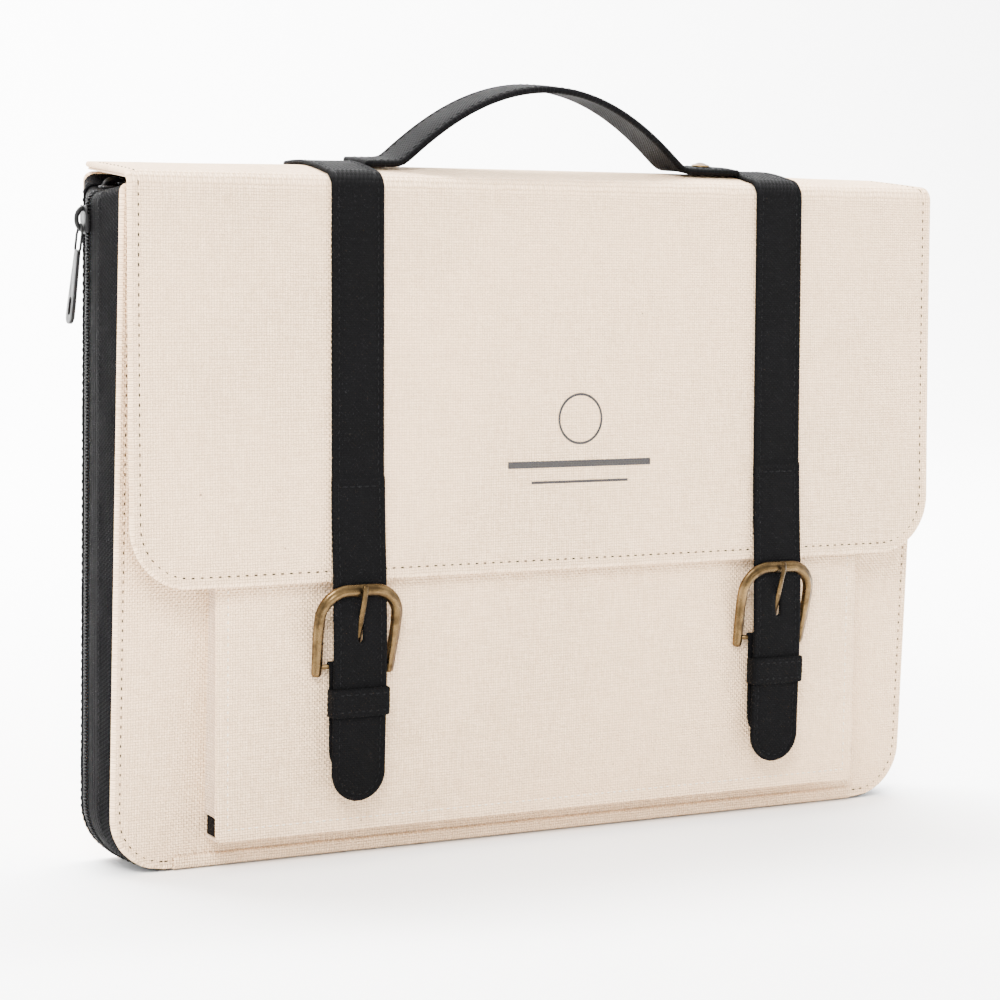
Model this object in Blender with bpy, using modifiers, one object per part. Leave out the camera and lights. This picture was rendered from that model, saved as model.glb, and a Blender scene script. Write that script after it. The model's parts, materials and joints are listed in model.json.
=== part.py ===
"""Portfolio case: a zipped canvas case with a satchel flap, a front pocket, straps and a handle.

Metres, +Z up. The case stands on its canvas base with its front facing -Y. The origin is at the
centre of the base, midway between the zip's two halves. Every moving body hangs from an empty that
sits on its joint, and its pieces are drawn in that empty's own axes.
"""
from math import cos, pi, radians, sin, sqrt, tan

import bmesh
import bpy
from mathutils import Matrix, Vector

# Case: two stiffened panels joined by a gusset with a zip along its middle.
PANEL_WIDTH = 0.412
FRONT_HEIGHT = 0.291
BACK_HEIGHT = 0.2955
BASE_HALF_DEPTH = 0.018
FRONT_LEAN = radians(1.57)
PANEL_CORNER = 0.025
PANEL_TOP_CORNER = 0.004
NOTCH_X = 0.178
CANVAS = 0.001
BOARD = 0.002
LINING = 0.0008
BOARD_INSET = 0.002
BACK_BOARD_DROP = 0.0022
BOARD_BOTTOM = 0.004
BASE_CANVAS = 0.0012
BASE_BOARD_LOW = (-0.170, -0.012, 0.0015)
BASE_BOARD_HIGH = (0.170, 0.012, 0.0030)
GAP = 0.0003
HINGE_Z = 0.0006

# Gusset and zip, as a band between the panels' edges and the zip's own, wider path.
GUSSET = 0.001
GUSSET_INSET = 0.0008
GUSSET_MIDDLE = 0.0125
ZIP_HALF_WIDTH = 0.210
ZIP_TOP = 0.287
ZIP_CORNER = 0.029
ZIP_TOP_CORNER = 0.005
RIM_FOOT_Z = 0.0009
TAPE_EDGE = 0.009
TAPE_INNER = 0.0026
TAPE = 0.0006
COIL_OUTER = 0.0023
COIL_INNER = 0.0006
COIL = 0.0018
STOP_X = 0.1735
STOP_LOW = (0.0006, 0.0015)
STOP_SIZE = (0.003, 0.0034, 0.002)

# Flap: a short top section hinged at the back seam, then the front section below the fold.
FLAP_WIDTH = 0.410
SEAM_Y = 0.0183
SEAM_Z = 0.296
TOP_DEPTH = 0.0456
TOP_SLOPE = radians(4.2)
FLAP_DROP = 0.1699
FLAP_TILT = radians(1.6)
FLAP_CORNER = 0.027
FLAP_LINING = (0.0002, 0.0010)
FLAP_BOARD = (0.0013, 0.0023)
FLAP_CANVAS = (0.0026, 0.0036)
STRAP_LAYER = (0.0039, 0.0057)

# Pocket on the front panel, deeper at its bottom than at its mouth.
POCKET_LEFT = -0.164
POCKET_RIGHT = 0.168
POCKET_BOTTOM = 0.0135
POCKET_HEIGHT = 0.1445
POCKET_DEPTH = 0.0138
POCKET_MOUTH_DEPTH = 0.0075
POCKET_SIDE_START = 0.0105
POCKET_CANVAS = 0.0012
POCKET_SIDE = 0.001
POCKET_LINING = 0.0006
POCKET_LINING_INSET = 0.0018
POCKET_LINING_BACK = 0.0008

# Straps and buckles.
STRAP_X = {"left": -0.101, "right": 0.116}
STRAP_WIDTH = 0.025
STRAP_SPLICE = 0.1257
TONGUE_TIP = 0.2652
CHAPE_TIP = 0.2552
CHAPE_LAYER = (0.0015, 0.0033)
KEEPER_SPAN = (0.2160, 0.2280)
KEEPER_HALF_WIDTH = 0.0141
KEEPER_LAYER = (-0.0001, 0.0073)
KEEPER_WALL = 0.0012
BUCKLE_BAR_DROP = 0.2065
BUCKLE_BAR_OUT = 0.0012
BUCKLE_TILT = radians(13.5)
BUCKLE_ARCH = 0.0338
BUCKLE_HALF_WIDTH = 0.0166
BUCKLE_CORNER = 0.012
BUCKLE_WIRE = 0.0021
BAR_RADIUS = 0.0011
EYE_CLEARANCE = 0.0003
EYE_WALL = 0.0007
PRONG_WIDTH = 0.0026
PRONG_HALF_THICKNESS = 0.0009
PRONG_PAST_ARCH = 0.0022
PRONG_TILT = radians(19.1)
SLOT_HALF_WIDTH = 0.0021
SLOT_ABOVE_BAR = (0.0016, 0.019)
SNAP_RADIUS = 0.0065
SNAP_DROP = 0.241
SNAP_STUD_LAYER = (-0.0006, 0.0012)
SNAP_SOCKET = 0.0012
SNAP_SOCKET_DROP = 0.1075

# Handle: a flat ribbon that arches up from the flap's top.
HANDLE_X = 0.001
HANDLE_Y = -0.0225
HANDLE_WIDTH = 0.025
HANDLE_THICKNESS = 0.003
HANDLE_RISE = 0.0335
HANDLE_HALF_SPAN = 0.076
HANDLE_SOFTNESS = 0.004
HANDLE_CUT = 0.071
RIVET_X = 0.090
RIVET_RADIUS = 0.0043
RIVET_EDGE = 0.0005
RIVET_DOME = 0.0016

# Zip sliders and pulls, drawn with the pull's direction along local +X.
SLIDER_LENGTH = 0.012
SLIDER_HALF_WIDTH = 0.004
PLATE_INNER = 0.0015
PLATE_OUTER = 0.0024
BRIDGE_TOP = 0.0056
PULL_PIVOT_X = 0.0028
PULL_PIVOT_Z = 0.0035
LOOP_LENGTH = 0.010
LOOP_HALF_WIDTH = 0.003
LOOP_WIRE = 0.0005
TAB_LENGTH = 0.031
TAB_HALF_WIDTH = 0.0035
TAB_THICKNESS = 0.0016
PULL_LEFT_TILT = radians(8.0)
SLIDER_LEFT_Z = 0.2755
SLIDER_TOP_X = -0.1985

for leftover in list(bpy.data.objects):
    bpy.data.objects.remove(leftover)
PARTS = bpy.data.collections.new("portfolio_case")
CUTTERS = bpy.data.collections.new("cutters")
bpy.context.scene.collection.children.link(PARTS)
bpy.context.scene.collection.children.link(CUTTERS)

COLOURS = {
    "canvas": ((0.83, 0.74, 0.65), 0.9, 0.0),
    "webbing": ((0.018, 0.018, 0.020), 0.85, 0.0),
    "lining": ((0.030, 0.028, 0.030), 0.9, 0.0),
    "board": ((0.45, 0.40, 0.33), 0.8, 0.0),
    "brass": ((0.30, 0.20, 0.09), 0.38, 1.0),
    "black_metal": ((0.015, 0.015, 0.016), 0.35, 0.8),
    "nylon": ((0.010, 0.010, 0.011), 0.45, 0.0),
}


def material(node_name, kind):
    colour, roughness, metallic = COLOURS[kind]
    made = bpy.data.materials.new(node_name)
    made.use_nodes = True
    shader = made.node_tree.nodes["Principled BSDF"]
    shader.inputs["Base Color"].default_value = (*colour, 1.0)
    shader.inputs["Roughness"].default_value = roughness
    shader.inputs["Metallic"].default_value = metallic
    return made


def add(name, data, kind, parent, location=(0, 0, 0), rotation=(0, 0, 0)):
    obj = bpy.data.objects.new(name, data)
    obj.parent = parent
    obj.location = location
    obj.rotation_euler = rotation
    data.materials.append(material(name, kind))
    PARTS.objects.link(obj)
    return obj


def frame(name, origin, x_axis=(1, 0, 0), z_axis=(0, 0, 1), parent=None):
    """An empty with its local X and Z along the given directions."""
    x_dir = Vector(x_axis).normalized()
    z_dir = Vector(z_axis).normalized()
    y_dir = z_dir.cross(x_dir)
    rotation = Matrix((x_dir, y_dir, z_dir)).transposed()
    empty = bpy.data.objects.new(name, None)
    empty.parent = parent
    empty.location = origin
    empty.rotation_euler = rotation.to_euler()
    empty.empty_display_size = 0.02
    PARTS.objects.link(empty)
    return empty


def arc(centre, radius, start, end, steps):
    points = []
    for i in range(steps + 1):
        angle = start + (end - start) * i / steps
        points.append((centre[0] + radius * cos(angle), centre[1] + radius * sin(angle)))
    return points


def rectangle(low, high):
    return [(low[0], low[1]), (high[0], low[1]), (high[0], high[1]), (low[0], high[1])]


def rounded_rectangle(low, high, lower_radius, upper_radius, steps=6):
    """Outline run anticlockwise from the lower right corner."""
    lower, upper = lower_radius, upper_radius
    points = arc((high[0] - lower, low[1] + lower), lower, -pi / 2, 0, steps)
    points += arc((high[0] - upper, high[1] - upper), upper, 0, pi / 2, steps)
    points += arc((low[0] + upper, high[1] - upper), upper, pi / 2, pi, steps)
    points += arc((low[0] + lower, low[1] + lower), lower, pi, 3 * pi / 2, steps)
    return points


def flat_curve(name, outlines, thickness):
    curve = bpy.data.curves.new(name, "CURVE")
    curve.dimensions = "2D"
    curve.fill_mode = "BOTH"
    curve.extrude = thickness / 2
    for outline in outlines:
        spline = curve.splines.new("POLY")
        spline.points.add(len(outline) - 1)
        for point, (x, y) in zip(spline.points, outline):
            point.co = (x, y, 0, 1)
        spline.use_cyclic_u = True
    return curve


def plate(name, outlines, layer, kind, parent, location=(0, 0, 0)):
    """A flat piece in the parent's XY plane, filling the layer's span of local Z."""
    curve = flat_curve(name, outlines, layer[1] - layer[0])
    place = Vector(location) + Vector((0, 0, (layer[0] + layer[1]) / 2))
    return add(name, curve, kind, parent, place)


def side_profile(name, outlines, width, kind, parent, location):
    """An outline in the parent's YZ plane, extruded along X about the location."""
    curve = flat_curve(name, outlines, width)
    return add(name, curve, kind, parent, location, (pi / 2, 0, pi / 2))


def front_profile(name, outlines, depth, kind, parent, location):
    """An outline in the parent's XZ plane, extruded along Y about the location."""
    curve = flat_curve(name, outlines, depth)
    return add(name, curve, kind, parent, location, (pi / 2, 0, 0))


def tube(name, points, radius, kind, parent, location=(0, 0, 0), cyclic=False):
    curve = bpy.data.curves.new(name, "CURVE")
    curve.dimensions = "3D"
    curve.bevel_depth = radius
    curve.bevel_resolution = 2
    curve.use_fill_caps = True
    spline = curve.splines.new("POLY")
    spline.points.add(len(points) - 1)
    for point, place in zip(spline.points, points):
        point.co = (*place, 1)
    spline.use_cyclic_u = cyclic
    return add(name, curve, kind, parent, location)


def box_mesh(name, low, high):
    bm = bmesh.new()
    size = Vector(high) - Vector(low)
    centre = (Vector(high) + Vector(low)) / 2
    bmesh.ops.create_cube(bm, size=1, matrix=Matrix.Translation(centre) @ Matrix.Diagonal((*size, 1)))
    mesh = bpy.data.meshes.new(name)
    bm.to_mesh(mesh)
    bm.free()
    return mesh


def cylinder_mesh(name, radius, length, axis, centre=(0, 0, 0), segments=20):
    to_y = Matrix.Rotation(pi / 2, 4, "X")
    turn = {"X": Matrix.Rotation(pi / 2, 4, "Y"), "Y": to_y, "Z": Matrix.Identity(4)}
    bm = bmesh.new()
    bmesh.ops.create_cone(
        bm, cap_ends=True, segments=segments, radius1=radius, radius2=radius, depth=length,
        matrix=Matrix.Translation(Vector(centre)) @ turn[axis],
    )
    mesh = bpy.data.meshes.new(name)
    bm.to_mesh(mesh)
    bm.free()
    return mesh


def box(name, low, high, kind, parent, location=(0, 0, 0)):
    return add(name, box_mesh(name, low, high), kind, parent, location)


def to_mesh(obj):
    """Replace a curve object by a mesh object with the same name, place and parent."""
    bpy.context.view_layer.update()
    evaluated = obj.evaluated_get(bpy.context.evaluated_depsgraph_get())
    mesh = bpy.data.meshes.new_from_object(evaluated)
    bm = bmesh.new()
    bm.from_mesh(mesh)
    bmesh.ops.remove_doubles(bm, verts=bm.verts, dist=0.000001)
    bmesh.ops.recalc_face_normals(bm, faces=bm.faces)
    bm.to_mesh(mesh)
    bm.free()
    name = obj.name
    parent = obj.parent
    matrix = obj.matrix_world.copy()
    bpy.data.objects.remove(obj)
    made = bpy.data.objects.new(name, mesh)
    made.parent = parent
    PARTS.objects.link(made)
    bpy.context.view_layer.update()
    made.matrix_world = matrix
    return made


def cutter(name, mesh, parent, location=(0, 0, 0)):
    obj = bpy.data.objects.new(name, mesh)
    obj.parent = parent
    obj.location = location
    obj.hide_render = True
    obj.display_type = "WIRE"
    CUTTERS.objects.link(obj)
    return obj


def combine(obj, tool, operation):
    modifier = obj.modifiers.new(operation.lower(), "BOOLEAN")
    modifier.operation = operation
    modifier.solver = "EXACT"
    modifier.object = tool


def band(name, rows, thickness, kind, parent):
    """A sheet through rows of points, thickened evenly to both sides."""
    bm = bmesh.new()
    grid = [[bm.verts.new(point) for point in row] for row in rows]
    for lower, upper in zip(grid, grid[1:]):
        for i in range(len(lower) - 1):
            bm.faces.new((lower[i], lower[i + 1], upper[i + 1], upper[i]))
    bmesh.ops.recalc_face_normals(bm, faces=bm.faces)
    mesh = bpy.data.meshes.new(name)
    bm.to_mesh(mesh)
    bm.free()
    obj = add(name, mesh, kind, parent)
    solid = obj.modifiers.new("thickness", "SOLIDIFY")
    solid.thickness = thickness
    solid.offset = 0
    solid.use_even_offset = True
    return obj


def rim(half_width, top, foot_radius, top_radius):
    """Points round a panel's edge in the XZ plane, from the left notch over the top to the right one."""
    left = [(-NOTCH_X, RIM_FOOT_Z)]
    left += arc((-half_width + foot_radius, RIM_FOOT_Z + foot_radius), foot_radius, -pi / 2, -pi, 6)
    left += arc((-half_width + top_radius, top - top_radius), top_radius, pi, pi / 2, 4)
    return left + [(-x, z) for x, z in reversed(left)]


def gusset_rows(panel_rim, panel_y, stations):
    """Rows of the curved gusset: it leaves the panel's edge and crests at the zip's path, at Y = 0."""
    zip_rim = rim(ZIP_HALF_WIDTH, ZIP_TOP, ZIP_CORNER, ZIP_TOP_CORNER)
    rows = []
    for station in stations:
        row = []
        for (panel_x, panel_z), (zip_x, zip_z) in zip(panel_rim, zip_rim):
            start = panel_y(panel_z)
            y = start if station is None else station
            blend = sin(pi / 2 * (start - y) / start)
            row.append((panel_x + (zip_x - panel_x) * blend, y, panel_z + (zip_z - panel_z) * blend))
        rows.append(row)
    return rows


def panel_outline(height, inset=0.0, bottom=0.0):
    half = PANEL_WIDTH / 2 - inset
    return rounded_rectangle(
        (-half, bottom), (half, height - inset), PANEL_CORNER - inset, PANEL_TOP_CORNER - inset
    )


def front_gusset_y(z):
    return -BASE_HALF_DEPTH - z * tan(FRONT_LEAN) + CANVAS + GAP


def back_gusset_y(z):
    return BASE_HALF_DEPTH - CANVAS - GAP


def shell_sheets(side, panel_y, height):
    """The gusset, zip tape and coil of one half of the case."""
    sign = -1 if side == "front" else 1
    half = PANEL_WIDTH / 2 - GUSSET_INSET
    edge = rim(half, height - GUSSET_INSET, PANEL_CORNER - GUSSET_INSET, PANEL_TOP_CORNER)
    turn = sign * (TAPE_EDGE + GAP)
    parent = FRAMES[side]
    middle = sign * GUSSET_MIDDLE
    band(f"gusset_{side}", gusset_rows(edge, panel_y, [None, middle, turn]), GUSSET, "webbing", parent)
    tape = gusset_rows(edge, panel_y, [sign * TAPE_EDGE, sign * TAPE_INNER])
    band(f"zip_tape_{side}", tape, TAPE, "webbing", parent)
    coil = gusset_rows(edge, panel_y, [sign * COIL_OUTER, sign * COIL_INNER])
    band(f"zip_coil_{side}", coil, COIL, "nylon", parent)


def make_back_shell():
    back = frame("back_panel_plane", (0, BASE_HALF_DEPTH, 0), (1, 0, 0), (0, -1, 0), FRAMES["back"])
    plate("back_canvas", [panel_outline(BACK_HEIGHT, bottom=GAP)], (0, CANVAS), "canvas", back)
    board = panel_outline(BACK_HEIGHT - BACK_BOARD_DROP, BOARD_INSET, bottom=BOARD_BOTTOM)
    board_layer = (CANVAS + GAP, CANVAS + GAP + BOARD)
    plate("back_board", [board], board_layer, "board", back)
    lining_start = board_layer[1] + GAP
    plate("back_lining", [board], (lining_start, lining_start + LINING), "lining", back)
    front_edge = -BASE_HALF_DEPTH + CANVAS + GAP
    back_edge = BASE_HALF_DEPTH - CANVAS - GAP
    half = NOTCH_X - GAP
    box("base_canvas", (-half, front_edge, 0), (half, back_edge, BASE_CANVAS), "canvas", FRAMES["back"])
    box("base_board", BASE_BOARD_LOW, BASE_BOARD_HIGH, "board", FRAMES["back"])
    shell_sheets("back", back_gusset_y, BACK_HEIGHT)
    for side, sign in (("left", -1), ("right", 1)):
        low_x = min(sign * STOP_X, sign * (STOP_X + STOP_SIZE[0]))
        low = Vector((low_x, *STOP_LOW))
        box(f"zip_stop_{side}", low, low + Vector(STOP_SIZE), "black_metal", FRAMES["back"])


def make_front_shell():
    hinge = FRAMES["front_hinge"]
    height = FRONT_HEIGHT - HINGE_Z
    outer_layer = (-CANVAS, 0)
    plate("front_canvas", [panel_outline(height, bottom=-GAP)], outer_layer, "canvas", hinge)
    board = panel_outline(height, BOARD_INSET, bottom=BOARD_BOTTOM)
    board_layer = (-CANVAS - GAP - BOARD, -CANVAS - GAP)
    plate("front_board", [board], board_layer, "board", hinge)
    lining_end = board_layer[0] - GAP
    plate("front_lining", [board], (lining_end - LINING, lining_end), "lining", hinge)
    shell_sheets("front", front_gusset_y, FRONT_HEIGHT)


def pocket_offset(up):
    """How far the pocket's front stands off the panel, at a height above the pocket's bottom."""
    return POCKET_DEPTH - (POCKET_DEPTH - POCKET_MOUTH_DEPTH) * up / POCKET_HEIGHT


def make_pocket():
    hinge = FRAMES["front_hinge"]
    lean = (POCKET_DEPTH - POCKET_MOUTH_DEPTH) / POCKET_HEIGHT
    pocket = frame("pocket_plane", (0, POCKET_BOTTOM, POCKET_DEPTH), (1, 0, 0), (0, lean, 1), hinge)
    face = rounded_rectangle((POCKET_LEFT, 0), (POCKET_RIGHT, POCKET_HEIGHT), 0.003, 0.001, 3)
    plate("pocket_front", [face], (-POCKET_CANVAS, 0), "canvas", pocket)
    back = POCKET_CANVAS + GAP
    start = POCKET_SIDE_START
    top = POCKET_HEIGHT - 0.002
    side = [(start, GAP), (start, pocket_offset(start) - back), (top, pocket_offset(top) - back), (top, GAP)]
    for name, x in (("left", POCKET_LEFT + POCKET_SIDE / 2), ("right", POCKET_RIGHT - POCKET_SIDE / 2)):
        side_profile(f"pocket_side_{name}", [side], POCKET_SIDE, "canvas", hinge, (x, POCKET_BOTTOM, 0))
    floor_low = (POCKET_LEFT + GAP, POCKET_BOTTOM, GAP)
    floor_high = (POCKET_RIGHT - GAP, POCKET_BOTTOM + POCKET_SIDE, POCKET_DEPTH - back - GAP)
    box("pocket_bottom", floor_low, floor_high, "canvas", hinge)
    make_pocket_lining(hinge, back)
    for side_name, x in STRAP_X.items():
        drop = POCKET_HEIGHT - SNAP_SOCKET_DROP
        disc = cylinder_mesh(f"snap_socket_{side_name}", SNAP_RADIUS, SNAP_SOCKET, "Z", segments=24)
        add(f"snap_socket_{side_name}", disc, "black_metal", pocket, (x, drop, GAP + SNAP_SOCKET / 2))


def make_pocket_lining(hinge, back):
    """A black tray inside the pocket: front, two sides and a floor, open to the panel and at the mouth."""
    inset = POCKET_LINING_INSET
    left, right = POCKET_LEFT + inset, POCKET_RIGHT - inset
    low = POCKET_BOTTOM + inset
    high = POCKET_BOTTOM + POCKET_HEIGHT - 2 * inset
    rows = []
    for up, y in ((low - POCKET_BOTTOM, low), (high - POCKET_BOTTOM, high)):
        out = pocket_offset(up) - back - POCKET_LINING
        foot = POCKET_LINING_BACK
        rows.append([(left, y, foot), (left, y, out), (right, y, out), (right, y, foot)])
    obj = band("pocket_lining", rows, POCKET_LINING, "lining", hinge)
    bm = bmesh.new()
    bm.from_mesh(obj.data)
    lower = sorted(bm.verts, key=lambda vert: (round(vert.co.y, 5), vert.co.x))[:4]
    by_place = sorted(lower, key=lambda vert: (vert.co.x, vert.co.z))
    bm.faces.new((by_place[0], by_place[1], by_place[3], by_place[2]))
    bmesh.ops.recalc_face_normals(bm, faces=bm.faces)
    bm.to_mesh(obj.data)
    bm.free()


def make_flap_top():
    seam = FRAMES["flap_seam"]
    half = FLAP_WIDTH / 2
    sheet = rectangle((-half, -TOP_DEPTH), (half, -GAP))
    plate("flap_top_lining", [sheet], FLAP_LINING, "canvas", seam)
    plate("flap_top_canvas", [sheet], (FLAP_BOARD[0], FLAP_CANVAS[1]), "canvas", seam)
    for side, x in STRAP_X.items():
        strap = rectangle((-STRAP_WIDTH / 2, -TOP_DEPTH), (STRAP_WIDTH / 2, -2 * GAP))
        plate(f"strap_top_{side}", [strap], STRAP_LAYER, "webbing", seam, (x, 0, 0))


def handle_centre(x):
    """Height of the handle ribbon's middle above where it lies flat, at a distance from its centre."""
    arch = HANDLE_RISE * (1 - (x / HANDLE_HALF_SPAN) ** 2)
    return (arch + sqrt(arch * arch + HANDLE_SOFTNESS ** 2)) / 2


def ribbon_outline(start, end, steps):
    """The handle's side view between two places along it, with ends cut square to X."""
    stations = [start + (end - start) * i / steps for i in range(steps + 1)]
    upper, lower = [], []
    for x in stations:
        slope = (handle_centre(x + 0.0005) - handle_centre(x - 0.0005)) / 0.001
        half = HANDLE_THICKNESS / 2 * sqrt(1 + slope * slope)
        upper.append((x, handle_centre(x) + half))
        lower.append((x, handle_centre(x) - half))
    return lower + upper[::-1]


def make_handle():
    seam = FRAMES["flap_seam"]
    rest = FLAP_CANVAS[1] + GAP + HANDLE_THICKNESS / 2
    place = (HANDLE_X, HANDLE_Y, rest)
    left_end = STRAP_X["left"] + STRAP_WIDTH / 2 + GAP - HANDLE_X
    right_end = STRAP_X["right"] - STRAP_WIDTH / 2 - GAP - HANDLE_X
    left = ribbon_outline(left_end, -HANDLE_CUT - GAP / 2, 5)
    right = ribbon_outline(HANDLE_CUT + GAP / 2, right_end, 6)
    front_profile("handle_root_left", [left], HANDLE_WIDTH, "webbing", seam, place)
    front_profile("handle_root_right", [right], HANDLE_WIDTH, "webbing", seam, place)
    grip = ribbon_outline(-HANDLE_CUT + GAP / 2, HANDLE_CUT - GAP / 2, 24)
    pivot = FRAMES["handle_pivot"]
    front_profile("handle_grip", [grip], HANDLE_WIDTH, "webbing", pivot, (0, 0, -handle_centre(HANDLE_CUT)))
    height = rest + handle_centre(RIVET_X - HANDLE_X - RIVET_RADIUS) + HANDLE_THICKNESS / 2 + GAP
    make_rivet((RIVET_X, HANDLE_Y, height), seam)


def make_rivet(place, parent):
    """A domed rivet head, turned."""
    turns = [step * pi / 10 for step in range(6)]
    profile = [(RIVET_RADIUS * sin(turn), RIVET_EDGE + RIVET_DOME * cos(turn)) for turn in turns]
    profile += [(RIVET_RADIUS, 0), (0, 0)]
    mesh = bpy.data.meshes.new("handle_rivet")
    points = [(x, 0, z) for x, z in profile]
    mesh.from_pydata(points, [(i, i + 1) for i in range(len(points) - 1)], [])
    obj = add("handle_rivet", mesh, "brass", parent, place)
    turn = obj.modifiers.new("turn", "SCREW")
    turn.steps = 24
    turn.render_steps = 24
    turn.use_merge_vertices = True
    turn.merge_threshold = 0.00001


def make_flap_front():
    fold = FRAMES["flap_fold"]
    half = FLAP_WIDTH / 2
    sheet = rounded_rectangle((-half, -FLAP_DROP), (half, 0), FLAP_CORNER, 0.001)
    plate("flap_lining", [sheet], FLAP_LINING, "canvas", fold)
    plate("flap_board", [sheet], FLAP_BOARD, "board", fold)
    plate("flap_canvas", [sheet], FLAP_CANVAS, "canvas", fold)
    for side, x in STRAP_X.items():
        make_strap(side, x, fold)
        make_buckle(side, FRAMES[f"buckle_{side}"])


def tip_outline(half_width, top, bottom, slot=None):
    """A strap end with a rounded tip, in outline, and a slot where the prong goes through."""
    tip_radius = half_width
    outline = [(half_width, top), (-half_width, top)]
    outline += arc((0, bottom + tip_radius), tip_radius, -pi, 0, 12)
    outlines = [outline]
    if slot:
        outlines.append(rectangle((-SLOT_HALF_WIDTH, slot[0]), (SLOT_HALF_WIDTH, slot[1])))
    return outlines


def make_strap(side, x, fold):
    half = STRAP_WIDTH / 2
    upper = rectangle((-half, -STRAP_SPLICE), (half, -GAP))
    plate(f"strap_{side}", [upper], STRAP_LAYER, "webbing", fold, (x, 0, 0))
    slot = (-BUCKLE_BAR_DROP + SLOT_ABOVE_BAR[0], -BUCKLE_BAR_DROP + SLOT_ABOVE_BAR[1])
    tongue = tip_outline(half, -STRAP_SPLICE - GAP, -TONGUE_TIP, slot)
    plate(f"tongue_{side}", tongue, STRAP_LAYER, "webbing", fold, (x, 0, 0))
    make_chape(side, x, fold)
    low = Vector((-KEEPER_HALF_WIDTH, KEEPER_LAYER[0]))
    high = Vector((KEEPER_HALF_WIDTH, KEEPER_LAYER[1]))
    wall = Vector((KEEPER_WALL, KEEPER_WALL))
    inner = rounded_rectangle(low + wall, high - wall, 0.0012, 0.0012, 3)
    outer = rounded_rectangle(low, high, 0.0022, 0.0022, 3)
    middle = -(KEEPER_SPAN[0] + KEEPER_SPAN[1]) / 2
    width = KEEPER_SPAN[1] - KEEPER_SPAN[0]
    front_profile(f"keeper_{side}", [outer, inner[::-1]], width, "webbing", fold, (x, middle, 0))
    disc_name = f"snap_stud_{side}"
    thickness = SNAP_STUD_LAYER[1] - SNAP_STUD_LAYER[0]
    disc = cylinder_mesh(disc_name, SNAP_RADIUS, thickness, "Z", segments=24)
    add(disc_name, disc, "black_metal", fold, (x, -SNAP_DROP, sum(SNAP_STUD_LAYER) / 2))


def make_chape(side, x, fold):
    """The short strap behind the tongue, with its end folded round the buckle's bar."""
    eye_inner = BAR_RADIUS + EYE_CLEARANCE
    eye_outer = eye_inner + EYE_WALL
    name = f"chape_{side}"
    half = STRAP_WIDTH / 2
    outline = tip_outline(half, -BUCKLE_BAR_DROP - 0.0016, -CHAPE_TIP)
    chape = to_mesh(plate(name, outline, CHAPE_LAYER, "webbing", fold, (x, 0, 0)))
    bar = (x, -BUCKLE_BAR_DROP, BUCKLE_BAR_OUT)
    eye = cutter(f"eye_{side}", cylinder_mesh("eye", eye_outer, STRAP_WIDTH, "X"), fold, bar)
    hole = cutter(f"eye_hole_{side}", cylinder_mesh("eye_hole", eye_inner, 0.04, "X"), fold, bar)
    notch_low = (-SLOT_HALF_WIDTH, -0.0045, -0.004)
    notch = cutter(f"notch_{side}", box_mesh("notch", notch_low, (SLOT_HALF_WIDTH, 0.004, 0.004)), fold, bar)
    combine(chape, eye, "UNION")
    combine(chape, hole, "DIFFERENCE")
    combine(chape, notch, "DIFFERENCE")


def make_buckle(side, parent):
    """A horseshoe of wire with a straight bar between its feet."""
    corner_x = BUCKLE_HALF_WIDTH - BUCKLE_CORNER
    corner_y = BUCKLE_ARCH - BUCKLE_CORNER
    half = [(BUCKLE_HALF_WIDTH + 0.0006, -0.0002)]
    half += arc((corner_x, corner_y), BUCKLE_CORNER, 0, pi / 2, 7)
    path = half + [(-x, y) for x, y in reversed(half)]
    points = [(x, y, 0) for x, y in path]
    name = f"buckle_{side}"
    frame_wire = to_mesh(tube(name, points, BUCKLE_WIRE, "brass", parent))
    bar_mesh = cylinder_mesh("bar", BAR_RADIUS, 2 * BUCKLE_HALF_WIDTH, "X")
    combine(frame_wire, cutter(f"bar_{side}", bar_mesh, parent), "UNION")


def make_prong(side):
    """A flat pin, hooked round the bar, that lies across the arch."""
    inner = BAR_RADIUS + EYE_CLEARANCE
    outer = inner + EYE_WALL
    half = PRONG_HALF_THICKNESS
    reach = BUCKLE_ARCH + PRONG_PAST_ARCH
    shoulder = (outer * outer - half * half) ** 0.5
    outline = [(shoulder, half)] + arc((0, 0), outer, 0.45, 2 * pi - 0.45, 14) + [(shoulder, -half)]
    outline += [(reach, -half), (reach + 0.0008, 0), (reach, half)]
    hole = arc((0, 0), inner, 2 * pi, 2 * pi / 14, 13)
    side_profile(f"prong_{side}", [outline, hole], PRONG_WIDTH, "brass", FRAMES[f"prong_{side}"], (0, 0, 0))


def make_slider(side):
    """Two plates over and under the coil, a post between them and a bridge that holds the pull."""
    parent = FRAMES[f"slider_{side}"]
    half = SLIDER_LENGTH / 2
    wide = SLIDER_HALF_WIDTH
    name = f"zip_slider_{side}"
    body = box(name, (-half, -wide, PLATE_INNER), (half, wide, PLATE_OUTER), "black_metal", parent)
    pieces = {
        "under": ((-half, -wide, -PLATE_OUTER), (half, wide, -PLATE_INNER)),
        "post": (
            (-half + 0.001, -0.0003, -PLATE_OUTER + 0.0002),
            (-half + 0.004, 0.0003, PLATE_OUTER - 0.0002),
        ),
        "bridge": ((-0.005, -0.0011, PLATE_OUTER - 0.0002), (0.005, 0.0011, BRIDGE_TOP)),
    }
    for piece, (low, high) in pieces.items():
        combine(body, cutter(f"{piece}_{side}", box_mesh(piece, low, high), parent), "UNION")
    arch = box_mesh("arch", (-0.004, -0.002, PLATE_OUTER), (0.004, 0.002, BRIDGE_TOP - 0.001))
    combine(body, cutter(f"arch_{side}", arch, parent), "DIFFERENCE")


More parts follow.
